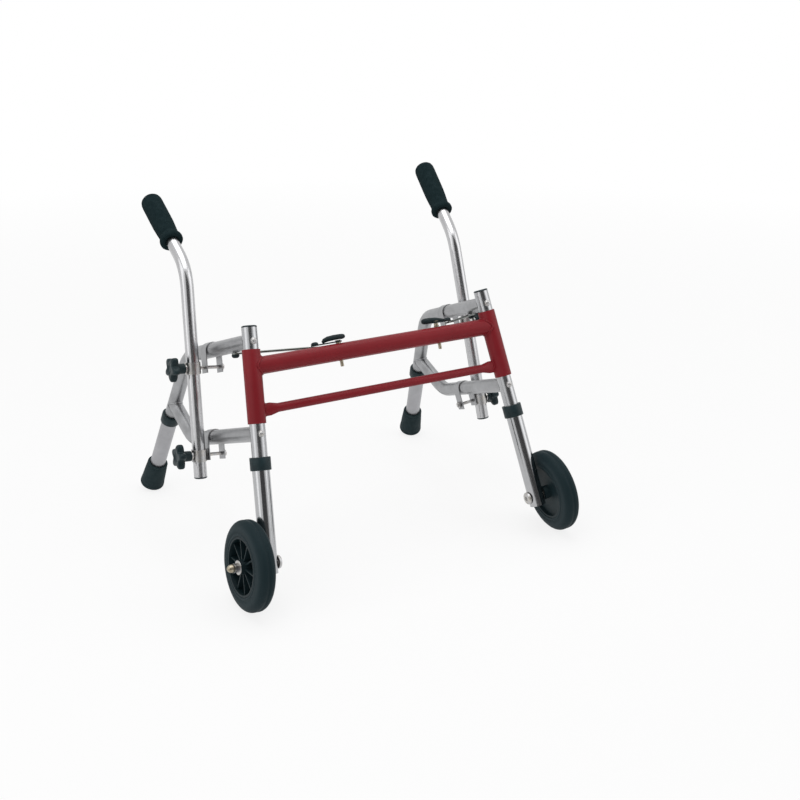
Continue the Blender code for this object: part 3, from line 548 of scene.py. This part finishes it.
def ground():
    """Pale floor: it takes the object's shadow, and is plain white further out."""
    made = Shader("ground")
    made.set(Roughness=1.0, Specular_IOR_Level=0.0)
    where = made.place()
    made.colour(made.ramp(made.noise(where, 6, 3), [(0.0, (0.90,) * 3), (1.0, (0.93,) * 3)]))
    path = made.node("ShaderNodeLightPath")
    seen = made.node("ShaderNodeMath", operation="ADD", use_clamp=True)
    made.link(path.outputs["Is Camera Ray"], seen.inputs[0])
    made.link(path.outputs["Is Glossy Ray"], seen.inputs[1])
    away = made.node("ShaderNodeVectorMath", operation="LENGTH")
    made.link(where, away.inputs[0])
    share = made.node("ShaderNodeMath", operation="MULTIPLY")
    made.link(seen.outputs[0], share.inputs[0])
    whiter = made.range(away.outputs["Value"], *FLOOR_WHITE_SHARE, *FLOOR_WHITE_DISTANCE)
    made.link(whiter, share.inputs[1])
    glow = made.node("ShaderNodeEmission")
    glow.inputs["Strength"].default_value = 1.0
    blend = made.node("ShaderNodeMixShader")
    made.link(share.outputs[0], blend.inputs["Fac"])
    made.link(made.bsdf.outputs["BSDF"], blend.inputs[1])
    made.link(glow.outputs["Emission"], blend.inputs[2])
    output = made.tree.nodes["Material Output"]
    made.link(blend.outputs["Shader"], output.inputs["Surface"])
    return made.material


# Shape tools


def piece_from(bm, name, material, body, smooth_angle=math.radians(35)):
    """Makes a named piece of a bmesh, on the body that carries it."""
    bmesh.ops.recalc_face_normals(bm, faces=bm.faces)
    for face in bm.faces:
        face.smooth = True
    for edge in bm.edges:
        if len(edge.link_faces) == 2 and edge.calc_face_angle() > smooth_angle:
            edge.smooth = False
    mesh = bpy.data.meshes.new(name)
    bm.to_mesh(mesh)
    bm.free()
    obj = bpy.data.objects.new(name, mesh)
    bpy.context.scene.collection.objects.link(obj)
    obj.data.materials.append(material)
    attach(obj, body)
    return obj


def turned(outline, placing, segments=32, ring=False):
    """(radius, height) points spun about Z, as a bmesh in its place."""
    bm = bmesh.new()
    verts = [bm.verts.new((radius, 0, height)) for radius, height in outline]
    edges = [bm.edges.new(ends) for ends in zip(verts, verts[1:])]
    if ring:
        edges.append(bm.edges.new((verts[-1], verts[0])))
    bmesh.ops.spin(
        bm,
        geom=verts + edges,
        cent=(0, 0, 0),
        axis=(0, 0, 1),
        angle=math.tau,
        steps=segments,
        use_merge=True,
    )
    bmesh.ops.remove_doubles(bm, verts=bm.verts, dist=SAME_POINT)
    bmesh.ops.transform(bm, matrix=placing, verts=bm.verts)
    return bm


def dress(node, material, bevel=0.0):
    """Gives a node its material, and smooth shading with crisp edges."""
    obj = frame["nodes"][node]
    mesh = obj.data
    if "custom_normal" in mesh.attributes:
        mesh.attributes.remove(mesh.attributes["custom_normal"])
    mesh.polygons.foreach_set("use_smooth", [True] * len(mesh.polygons))
    mesh.materials.clear()
    mesh.materials.append(material)
    weld = obj.modifiers.new("weld", "WELD")
    weld.merge_threshold = MERGE_WITHIN
    if bevel:
        edge = obj.modifiers.new("edge", "BEVEL")
        edge.width = bevel
        edge.segments = 2
        edge.limit_method = "ANGLE"
        edge.angle_limit = BEVEL_FROM
    split = obj.modifiers.new("split", "EDGE_SPLIT")
    split.split_angle = CRISP_FROM


def around(count, shift=0.0):
    """Evenly spaced angles of one turn."""
    return [math.tau * (step + shift) / count for step in range(count)]


def ring_of(bm, placing, spots):
    return [bm.verts.new(placing @ Vector(spot)) for spot in spots]


def skin(bm, rings, closed=False):
    """Faces from each ring to the next, and over both ends unless the row is closed."""
    pairs = list(zip(rings, rings[1:]))
    if closed:
        pairs.append((rings[-1], rings[0]))
    for lower, upper in pairs:
        for step in range(len(lower)):
            after = (step + 1) % len(lower)
            bm.faces.new((lower[step], lower[after], upper[after], upper[step]))
    if not closed:
        bm.faces.new(rings[0])
        bm.faces.new(rings[-1])


def boxed(value, power):
    """A sine or cosine pushed outward by a power under 1, which squares an oval."""
    return math.copysign(abs(value) ** power, value)


def swept(path, sections, up, closed=False, segments=12, power=1.0):
    """Ovals carried along a path; a section gives half its size along up, then across it."""
    bm = bmesh.new()
    count = len(path)
    rings = []
    for index, (point, (half_up, half_across)) in enumerate(zip(path, sections)):
        before = path[(index - 1) % count] if closed or index else point
        after = path[(index + 1) % count] if closed or index < count - 1 else point
        placing = axes_at(point, after - before, up(point) if callable(up) else up)
        spots = [
            (half_up * boxed(math.cos(angle), power), half_across * boxed(math.sin(angle), power), 0)
            for angle in around(segments)
        ]
        rings.append(ring_of(bm, placing, spots))
    skin(bm, rings, closed)
    return bm


def weld_path(main_at, main_axis, main_r, branch_at, branch_axis, across, half_a, half_b):
    """Where a branch of elliptic section meets a round tube, as a closed row of points."""
    axis = main_axis.normalized()
    branch = branch_axis.normalized()
    first = (across - branch * across.dot(branch)).normalized()
    second = branch.cross(first)
    flat_branch = branch - axis * branch.dot(axis)
    points = []
    for angle in around(WELD_STEPS):
        base = branch_at + first * half_a * math.cos(angle) + second * half_b * math.sin(angle)
        offset = base - main_at
        offset -= axis * offset.dot(axis)
        a = flat_branch.length_squared
        b = offset.dot(flat_branch)
        c = offset.length_squared - main_r**2
        along = (-b + math.sqrt(max(b * b - a * c, 0))) / a
        points.append(base + branch * along)
    return points


def weld(name, path, size, centre, material, body, slot):
    """A weld bead: a loop with the small ripples of a hand-laid run."""
    sections = []
    for angle in around(len(path)):
        ripple = 1 + WELD_RIPPLE_SHARE * math.sin(WELD_RIPPLES * angle)
        sections.append((size * ripple, size * ripple))
    bm = swept(path, sections, lambda point: point - centre, closed=True, segments=8)
    return piece_from(bm, name, material, body, math.radians(80))


# Small parts


def welds(side, other, paint, satin):
    """Beads where both crossbars meet the sleeve, and where the lower rail meets its leg."""
    name = side.name
    bars = (
        ("crossbar", CROSSBAR_DOWN, CROSSBAR_R, CROSSBAR_R, CROSSBAR_BEAD),
        ("lower_bar", LOWER_BAR_DOWN, LOWER_BAR_HALF_WIDTH, LOWER_BAR_HALF_THICK, LOWER_BAR_BEAD),
    )
    toward = (other.cap - side.cap).normalized()
    for bar, down, half_a, half_b, bead in bars:
        bar_at = side.at(0, 0, down)
        path = weld_path(bar_at, side.down, SLEEVE_R, bar_at, toward, side.lean_up, half_a, half_b)
        weld(f"{bar}_weld_{name}", path, bead, bar_at, paint, "front_frame", "red_paint")
    joint_at = side.on_leg(JUNCTION_ALONG)
    toward = (side.at(0, LOWER_CORNER_REAR, LOWER_RAIL_DOWN) - joint_at).normalized()
    path = weld_path(joint_at, side.leg, TUBE_R, joint_at, toward, side.out, TUBE_R, TUBE_R)
    weld(f"leg_weld_{name}", path, LEG_BEAD, joint_at, satin, f"side_{name}", "satin_tube")


def rail_screws(side, steel):
    """Round heads at the front of the post, one for each rail."""
    outline = [
        (0, -0.0004),
        (0.0056, -0.0004),
        (0.0056, 0.0006),
        (0.0046, 0.0010),
        (0.0043, 0.0022),
        (0.0033, 0.0031),
        (0.0017, 0.0035),
        (0.0015, 0.0022),
        (0, 0.0022),
    ]
    for level, down in zip(LEVELS, (UPPER_RAIL_DOWN, LOWER_RAIL_DOWN)):
        placing = axes_at(side.at(0, -TUBE_R, down), -side.rear, side.down)
        name = f"{level}_rail_screw_{side.name}"
        piece_from(turned(outline, placing, 24), name, steel, f"side_{side.name}")


def handle_plug(side, plastic):
    """Low black plug in the foot of the handle tube."""
    outline = [
        (0, 0.0004),
        (HANDLE_R, 0.0004),
        (HANDLE_R, -0.0014),
        (HANDLE_R * 0.86, -0.0024),
        (HANDLE_R * 0.40, -0.0027),
        (0, -0.0024),
    ]
    placing = axes_at(side.handle_bottom, side.handle_up, side.out)
    name = f"handle_plug_{side.name}"
    piece_from(turned(outline, placing, 40), name, plastic, f"handle_{side.name}")


def foam_grip(side, soft):
    """Foam grip: a bell end, a waist, a long swell and a dimpled tip."""
    length = GRIP_LENGTH
    outline = [
        (HANDLE_R + SEAT_GAP, 0.0012),
        (GRIP_FLANGE_R * 0.80, 0.0),
        (GRIP_FLANGE_R * 0.92, 0.0008),
        (GRIP_FLANGE_R * 0.99, 0.0030),
        (GRIP_FLANGE_R, 0.0055),
        (GRIP_FLANGE_R * 0.985, 0.0080),
        (GRIP_FLANGE_R * 0.93, 0.0105),
        (GRIP_NECK_R * 1.02, 0.0135),
        (GRIP_NECK_R, 0.0180),
        (GRIP_NECK_R * 1.02, 0.0250),
        (GRIP_R * 0.96, 0.0350),
        (GRIP_R * 0.995, 0.0480),
        (GRIP_R, 0.0620),
        (GRIP_R, length - 0.0130),
        (GRIP_R * 0.985, length - 0.0080),
        (GRIP_R * 0.93, length - 0.0040),
        (GRIP_R * 0.83, length - 0.0014),
        (GRIP_R * 0.70, length - 0.0002),
        (GRIP_R * 0.45, length),
        (GRIP_R * 0.16, length - 0.0006),
        (GRIP_R * 0.08, length - 0.0020),
        (0, length - 0.0022),
    ]
    bm = turned(outline, grip_placing(side), 56)
    name = f"foam_grip_{side.name}"
    piece = piece_from(bm, name, soft, f"handle_{side.name}", math.radians(60))
    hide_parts(f"handle_grip_{side.name}")


def tyre(side, rubber):
    """Grey tyre with round shoulders, raised bead rings and one shallow groove in its tread."""
    seat = HUB_R + SEAT_GAP
    inner = []
    outer = []
    for step in range(SHOULDER_STEPS + 1):
        angle = math.pi / 2 * step / SHOULDER_STEPS
        radius = SIDEWALL_R + (WHEEL_R - SIDEWALL_R) * math.sin(angle)
        share = 1 - math.cos(angle)
        inner.append((radius, WHEEL_IN + (TREAD_IN - WHEEL_IN) * share))
        outer.append((radius, WHEEL_OUT + (TREAD_OUT - WHEEL_OUT) * share))
    middle = (WHEEL_IN + WHEEL_OUT) / 2
    floor_half = TREAD_GROOVE_HALF - TREAD_GROOVE_DEPTH
    groove = [
        (WHEEL_R, middle - TREAD_GROOVE_HALF),
        (WHEEL_R - TREAD_GROOVE_DEPTH, middle - floor_half),
        (WHEEL_R - TREAD_GROOVE_DEPTH, middle + floor_half),
        (WHEEL_R, middle + TREAD_GROOVE_HALF),
    ]
    ring = [(0, 0.0006), (0.0012, 0), (0.0034, 0), (0.0040, 0.0006)]
    ring_in = [(seat + rise, WHEEL_IN + inset) for rise, inset in ring]
    ring_out = [(seat + rise, WHEEL_OUT - inset) for rise, inset in reversed(ring)]
    outline = [*ring_in, *inner, *groove, *reversed(outer), *ring_out]
    placing = axes_at(side.axle, side.out, side.down)
    bm = turned(outline, placing, 96, ring=True)
    name = f"tyre_{side.name}"
    piece = piece_from(bm, name, rubber, f"wheel_{side.name}", math.radians(50))
    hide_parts(f"wheel_tyre_{side.name}")


def axle_trim(side, steel, screw, yellow):
    """The bolt with its low round head, the flange under the nut, and the brassy dome."""
    name = side.name
    placing = axes_at(side.axle, side.out, side.down)
    body = f"front_leg_{name}"
    seat = -OUTER_TUBE_R - CLEARANCE
    bolt = [
        (0, seat - 0.0028),
        (0.0036, seat - 0.0028),
        (0.0040, seat - 0.0050),
        (0.0075, seat - BOLT_HEAD_HEIGHT),
        (0.0097, seat - 0.0047),
        (0.0107, seat - 0.0037),
        (0.0110, seat - 0.0024),
        (0.0110, seat - 0.0004),
        (0.0106, seat),
        (AXLE_R, seat),
        (AXLE_R, BOLT_END),
        (0, BOLT_END),
    ]
    piece = piece_from(turned(bolt, placing, 36), f"axle_screw_{name}", screw, body)
    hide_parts(f"axle_bolt_{name}")
    dome = [
        (AXLE_R + SEAT_GAP, DOME_FROM),
        (0.0066, DOME_FROM),
        (0.0069, DOME_FROM + 0.0014),
        (0.0066, DOME_FROM + 0.0040),
        (0.0057, DOME_FROM + 0.0070),
        (0.0044, DOME_FROM + 0.0091),
        (0.0026, DOME_FROM + 0.0104),
        (0, DOME_FROM + 0.0108),
    ]
    piece_from(turned(dome, placing, 32), f"axle_dome_{name}", yellow, body)
    flange = [
        (AXLE_R + SEAT_GAP, NUT_FLANGE_FROM),
        (0.0112, NUT_FLANGE_FROM),
        (0.0117, NUT_FLANGE_FROM + 0.0006),
        (0.0115, NUT_FLANGE_FROM + 0.0013),
        (0.0098, NUT_FLANGE_FROM + 0.0018),
        (AXLE_R + SEAT_GAP, NUT_FLANGE_FROM + 0.0018),
    ]
    bm = turned(flange, placing, 44, ring=True)
    piece_from(bm, f"nut_flange_{name}", steel, body)


def latch_pin(side, yellow):
    """The pin through the crossbar: a stepped tip below, a collar on top and a low head."""
    lift = lever_height(side)
    head = lift + LEVER_THICK + CLEARANCE
    collar = CROSSBAR_R + PIN_COLLAR_HEIGHT
    tip = -CROSSBAR_R - PIN_TIP
    outline = [
        (0, tip),
        (0.0022, tip + 0.0001),
        (0.0029, tip + 0.0010),
        (0.0029, tip + 0.0060),
        (0.0025, tip + 0.0064),
        (0.0025, tip + 0.0070),
        (PIN_R, tip + 0.0074),
        (PIN_R, CROSSBAR_R + CLEARANCE),
        (0.0042, CROSSBAR_R + CLEARANCE),
        (0.0045, CROSSBAR_R + 0.0008),
        (0.0045, collar - 0.0006),
        (0.0038, collar),
        (0.0038, lift - CLEARANCE),
        (PIN_R, lift - CLEARANCE),
        (PIN_R, head),
        (0.0048, head),
        (0.0050, head + 0.0006),
        (0.0042, head + 0.0012),
        (0, head + 0.0014),
    ]
    placing = axes_at(side.pin, side.lean_up, side.out)
    name = f"pin_{side.name}"
    piece = piece_from(turned(outline, placing, 28), name, yellow, "front_frame")
    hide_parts(f"latch_pin_{side.name}")


def latch_lever(side, vinyl):
    """Flat arm with an eye on the pin and a domed rivet, under a dip-coated finger grip."""
    name = side.name
    body = f"lever_{name}"
    arm = lever_arm(side)
    base = side.pin + side.lean_up * lever_height(side)
    placing = axes_at(base, side.lean_up, arm)
    plate = eyed_plate(placing, LEVER_REACH, LEVER_HALF_WIDTH, PIN_R + CLEARANCE, LEVER_THICK)
    flat = piece_from(plate, f"lever_plate_{name}", vinyl, body)
    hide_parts(f"latch_lever_{name}")
    dome = [
        (0, LEVER_THICK - 0.0002),
        (0.0060, LEVER_THICK - 0.0002),
        (0.0063, LEVER_THICK + 0.0008),
        (0.0058, LEVER_THICK + 0.0026),
        (0.0042, LEVER_THICK + 0.0040),
        (0.0020, LEVER_THICK + 0.0046),
        (0, LEVER_THICK + 0.0047),
    ]
    rivet_at = axes_at(base + arm * LEVER_REACH, side.lean_up, arm)
    piece_from(turned(dome, rivet_at, 32), f"lever_rivet_{name}", vinyl, body)
    inward = Vector((-side.sign, 0, 0))
    rear = Vector((0, side.lean_up.z, -side.lean_up.y))
    path = []
    sections = []
    for in_by, rear_by, up_by, half_wide, half_high in LEVER_GRIP[name]:
        path.append(base + inward * in_by + rear * rear_by + side.lean_up * up_by)
        sections.append((half_high, half_wide))
    bm = swept(path, sections, side.lean_up, segments=20, power=0.85)
    piece_from(bm, f"lever_grip_{name}", vinyl, body, math.radians(70))


def eyed_plate(placing, reach, half, hole, thick):
    """A flat bar with round ends, from a hole at the origin to a point reach along X."""
    bm = bmesh.new()
    outer = []
    inner = []
    for height in (0, thick):
        edge = []
        rim = []
        for angle in around(EYE_STEPS, 0.5):
            shift = reach if math.cos(angle) > 0 else 0
            edge.append((shift + half * math.cos(angle), half * math.sin(angle), height))
            rim.append((hole * math.cos(angle), hole * math.sin(angle), height))
        outer.append(ring_of(bm, placing, edge))
        inner.append(ring_of(bm, placing, rim))
    skin(bm, [*outer, *reversed(inner)], closed=True)
    return bm


def brace_cover(side, vinyl, dull):
    """Dull band over the brace, between its stud and the lever, and a cap on the stud."""
    name = side.name
    start = side.at(0, BRACE_PIVOT_REAR, BRACE_TOP_DOWN + BRACE_THICK / 2)
    rivet = side.pin + side.lean_up * lever_height(side) + lever_arm(side) * LEVER_REACH
    rivet += side.down * (start - rivet).dot(side.down)
    onward = (rivet - start).normalized()
    stop = (rivet - start).length - BAND_SHORT_OF_RIVET
    half_across = BRACE_HALF_WIDTH + BAND_PROUD_ACROSS
    half_through = BRACE_THICK / 2 + BAND_PROUD_THROUGH
    rounding = [(0.0, 0.80), (0.0004, 0.97), (0.0020, 1.0)]
    spots = [(BAND_FROM + along, share) for along, share in rounding]
    spots += [(stop - along, share) for along, share in reversed(rounding)]
    path = [start + onward * along for along, _ in spots]
    sections = [(half_through * share, half_across * share) for _, share in spots]
    bm = swept(path, sections, side.down, segments=24, power=0.45)
    piece_from(bm, f"brace_cover_{name}", dull, f"brace_{name}", math.radians(70))
    head = BRACE_TOP_DOWN + BRACE_THICK + CLEARANCE
    cap = [
        (0, head + 0.0056),
        (0.0036, head + 0.0054),
        (0.0056, head + 0.0040),
        (0.0064, head + 0.0022),
        (0.0064, head + 0.0001),
        (0, head + 0.0001),
    ]
    placing = axes_at(side.at(0, BRACE_PIVOT_REAR, 0), side.down, side.rear)
    bm = turned(cap, placing, 32)
    piece_from(bm, f"stud_cap_{name}", vinyl, f"side_{name}")


def knob(side, level, plastic):
    """Five-lobed star knob with a rounded rim and a dished face, on a round shank."""
    ring_at = side.upper_ring if level == "upper" else side.lower_ring
    turn = KNOB_TURN[level]
    ray = side.rear * math.cos(turn) + side.down * math.sin(turn)
    placing = axes_at(ring_at, side.out, ray)
    start = KNOB_FROM[side.name]
    end = start + KNOB_THICK
    profile = [
        (start, 0.42),
        (start, 0.84),
        (start + 0.0008, 0.93),
        (start + 0.0026, 0.99),
        (start + 0.0050, 1.0),
        (end - 0.0040, 1.0),
        (end - 0.0018, 0.965),
        (end - 0.0005, 0.89),
        (end, 0.80),
        (end, 0.46),
        (end - 0.0012, 0.38),
        (end - 0.0014, 0.20),
    ]
    bm = bmesh.new()
    rings = []
    for height, share in profile:
        depth = KNOB_LOBE_DEPTH * min(1.0, share * share * 1.05)
        spots = []
        for angle in around(KNOB_STEPS):
            radius = KNOB_R * share + depth * math.cos(KNOB_LOBES * angle)
            spots.append((radius * math.cos(angle), radius * math.sin(angle), height))
        rings.append(ring_of(bm, placing, spots))
    skin(bm, rings)
    name = f"{level}_knob_{side.name}"
    body = f"{name}_body"
    piece = piece_from(bm, f"{name}_star", plastic, body, math.radians(50))
    boss = [
        (0, KNOB_BOSS_FROM),
        (KNOB_BOSS_R * 0.90, KNOB_BOSS_FROM),
        (KNOB_BOSS_R, KNOB_BOSS_FROM + 0.0008),
        (KNOB_BOSS_R * 1.02, start - 0.0020),
        (KNOB_BOSS_R * 1.12, start - 0.0004),
        (KNOB_BOSS_R * 1.20, start + 0.0010),
        (0, start + 0.0010),
    ]
    shank = piece_from(turned(boss, placing, 40), f"{name}_shank", plastic, body)
    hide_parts(name)
    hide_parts(name)


def foot(side, rubber):
    """Rubber ferrule: rolled top edge, two faint rings, flared skirt and a grooved sole."""
    height = FOOT_HEIGHT
    top = FOOT_TOP_R
    base = FOOT_BASE_R
    bore = OUTER_TUBE_R + 0.0002
    outline = [
        (bore, 0.0010),
        (bore + 0.0006, 0.0002),
        (top - 0.0014, 0.0),
        (top - 0.0004, 0.0006),
        (top, 0.0018),
        (top - 0.0002, 0.0032),
        (top - 0.0008, 0.0040),
        (top - 0.0007, 0.0052),
        (top + 0.0001, 0.0060),
        (top + 0.0004, 0.0100),
        (top + 0.0016, height * 0.45),
        (base - 0.0010, height * 0.74),
        (base - 0.0003, height * 0.84),
        (base - 0.0010, height * 0.86),
        (base - 0.0009, height * 0.88),
        (base, height * 0.90),
        (base, height - 0.0024),
        (base - 0.0006, height - 0.0008),
        (base - 0.0018, height),
        (base * 0.72, height),
        (base * 0.70, height - 0.0012),
        (base * 0.60, height - 0.0012),
        (base * 0.58, height),
        (base * 0.40, height),
        (base * 0.38, height - 0.0012),
        (0, height - 0.0012),
    ]
    slide_at = side.foot_base - side.leg * height
    placing = axes_at(slide_at, side.leg, side.out)
    name = f"rubber_foot_{side.name}"
    bm = turned(outline, placing, 56)
    piece = piece_from(bm, name, rubber, f"rear_leg_{side.name}", math.radians(45))
    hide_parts(f"rear_foot_{side.name}")


# Studio


def area_light(name, at, aim, size, power):
    data = bpy.data.lights.new(name, "AREA")
    data.shape = "RECTANGLE"
    data.size, data.size_y = size
    data.energy = power
    lamp = bpy.data.objects.new(name, data)
    lamp.location = at
    lamp.rotation_euler = (Vector(aim) - Vector(at)).to_track_quat("-Z", "Y").to_euler()
    bpy.context.scene.collection.objects.link(lamp)


def lay_floor():
    bm = bmesh.new()
    bmesh.ops.create_grid(bm, x_segments=8, y_segments=8, size=FLOOR_HALF)
    mesh = bpy.data.meshes.new("floor")
    bm.to_mesh(mesh)
    bm.free()
    floor = bpy.data.objects.new("floor", mesh)
    bpy.context.scene.collection.objects.link(floor)
    floor.data.materials.append(ground())
    floor.location.z = -FLOOR_DROP


def light_room():
    """A room that is plain white to the camera, lights evenly and has a dark side in mirrors."""
    world = bpy.data.worlds.new("studio")
    bpy.context.scene.world = world
    world.use_nodes = True
    made = Nodes(world.node_tree)
    background = made.tree.nodes["Background"]
    background.inputs["Color"].default_value = (1, 1, 1, 1)
    path = made.node("ShaderNodeLightPath")
    coords = made.node("ShaderNodeTexCoord")
    toward = made.node("ShaderNodeVectorMath", operation="DOT_PRODUCT")
    toward.inputs[1].default_value = DARK_SIDE
    made.link(coords.outputs["Generated"], toward.inputs[0])
    turned_to = toward.outputs["Value"]
    mirrored = made.range(turned_to, *DARK_SIDE_LEVELS, *DARK_SIDE_EDGE, kind="SMOOTHSTEP")
    around_object = made.mixed(path.outputs["Is Glossy Ray"], ROOM_LIGHT, mirrored)
    strength = made.mixed(path.outputs["Is Camera Ray"], around_object, 1.0)
    made.link(strength, background.inputs["Strength"])
    for lamp in LAMPS:
        area_light(*lamp)


def camera():
    azimuth, elevation, roll = CAMERA_AZIMUTH, CAMERA_ELEVATION, CAMERA_ROLL
    back = Vector(
        (
            math.sin(azimuth) * math.cos(elevation),
            -math.cos(azimuth) * math.cos(elevation),
            math.sin(elevation),
        )
    )
    level = Vector((math.cos(azimuth), math.sin(azimuth), 0))
    up = back.cross(level)
    right = level * math.cos(roll) + up * math.sin(roll)
    top = up * math.cos(roll) - level * math.sin(roll)
    data = bpy.data.cameras.new("camera")
    data.lens = CAMERA_LENS
    data.sensor_width = CAMERA_SENSOR
    data.clip_start = 0.01
    data.clip_end = 100
    obj = bpy.data.objects.new("camera", data)
    placing = Matrix((right, top, back)).transposed().to_4x4()
    placing.translation = Vector(joint("fold_right")["pos_m"]) + CAMERA_FROM_CAP
    obj.matrix_world = placing
    bpy.context.scene.collection.objects.link(obj)
    bpy.context.scene.camera = obj


# Dressing


def shared_finishes():
    return {
        "paint": red_paint(),
        "steel": zinc("steel"),
        "dull": zinc("dull_steel", (0.17, 0.185, 0.18)),
        "screw": zinc("screw_steel", (0.50, 0.50, 0.51), (0.34, 0.50)),
        "plastic": black_plastic(),
        "vinyl": black_plastic("black_vinyl", (0.006, 0.013, 0.015), 0.50),
        "rubber": foot_rubber(),
        "soft": foam(),
        "yellow": brass(),
    }


def own_finishes(side):
    """Finishes that follow this side's own tubes and wheel."""
    post = axes_at(side.cap, side.down, side.rear)
    along = {
        "bright_post": post,
        "bright_leg": post,
        "bright_stem": axes_at(side.handle_bottom, side.handle_up, side.out),
        "satin_rail": axes_at(side.cap, side.rear, side.down),
        "satin_leg": axes_at(side.on_leg(0), side.leg, side.out),
    }
    finishes = {
        look: tube_metal(f"{look}_{side.name}", placing, *TUBE_FINISHES[look])
        for look, placing in along.items()
    }
    # The lighter stops paint highlights on the tyre's bead ring and shoulder; the grey stops are the
    # rubber's own colour
    tyre_shades_and_painted_highlights = [
        (0.048, GREY_RUBBER),
        (0.0515, PAINTED_HIGHLIGHT_RUBBER),
        (0.056, GREY_RUBBER),
        (0.062, PAINTED_HIGHLIGHT_RUBBER),
        (0.069, GREY_RUBBER),
    ]
    hub_stops = [(0.0, DEEP_BLACK), (0.030, WARM_BLACK), (0.044, DEEP_BLACK), (0.050, GREY_RUBBER)]
    finishes["tyre"] = wheel_shader(f"tyre_{side.name}", side, tyre_shades_and_painted_highlights, rough=0.60, grooves=3200)
    finishes["hub"] = wheel_shader(f"hub_{side.name}", side, hub_stops, rough=0.45, grooves=2400)
    return finishes


def dress_side(side, other, shared):
    """Gives one side's nodes their finishes, and adds the side's small parts."""
    looks = {**shared, **own_finishes(side)}
    for node, look, bevel in WEARS:
        dress(f"{node}_{side.name}", looks[look], bevel)
    for level in LEVELS:
        for node, look, bevel in WEARS_AT_BOTH_LEVELS:
            dress(f"{level}_{node}_{side.name}", looks[look], bevel)
        knob(side, level, looks["plastic"])
    welds(side, other, looks["paint"], looks["satin_rail"])
    rail_screws(side, looks["steel"])
    handle_plug(side, looks["plastic"])
    foam_grip(side, looks["soft"])
    tyre(side, looks["tyre"])
    axle_trim(side, looks["steel"], looks["screw"], looks["yellow"])
    latch_pin(side, looks["yellow"])
    latch_lever(side, looks["vinyl"])
    brace_cover(side, looks["vinyl"], looks["dull"])
    foot(side, looks["rubber"])


def main():
    left, right = (Side(name) for name in SIDES)
    camera()
    lay_floor()
    light_room()
    shared = shared_finishes()
    for node in ("crossbar", "lower_crossbar"):
        dress(node, shared["paint"])
    dress_side(left, right, shared)
    dress_side(right, left, shared)
    bpy.context.scene.view_settings.view_transform = "Standard"


main()
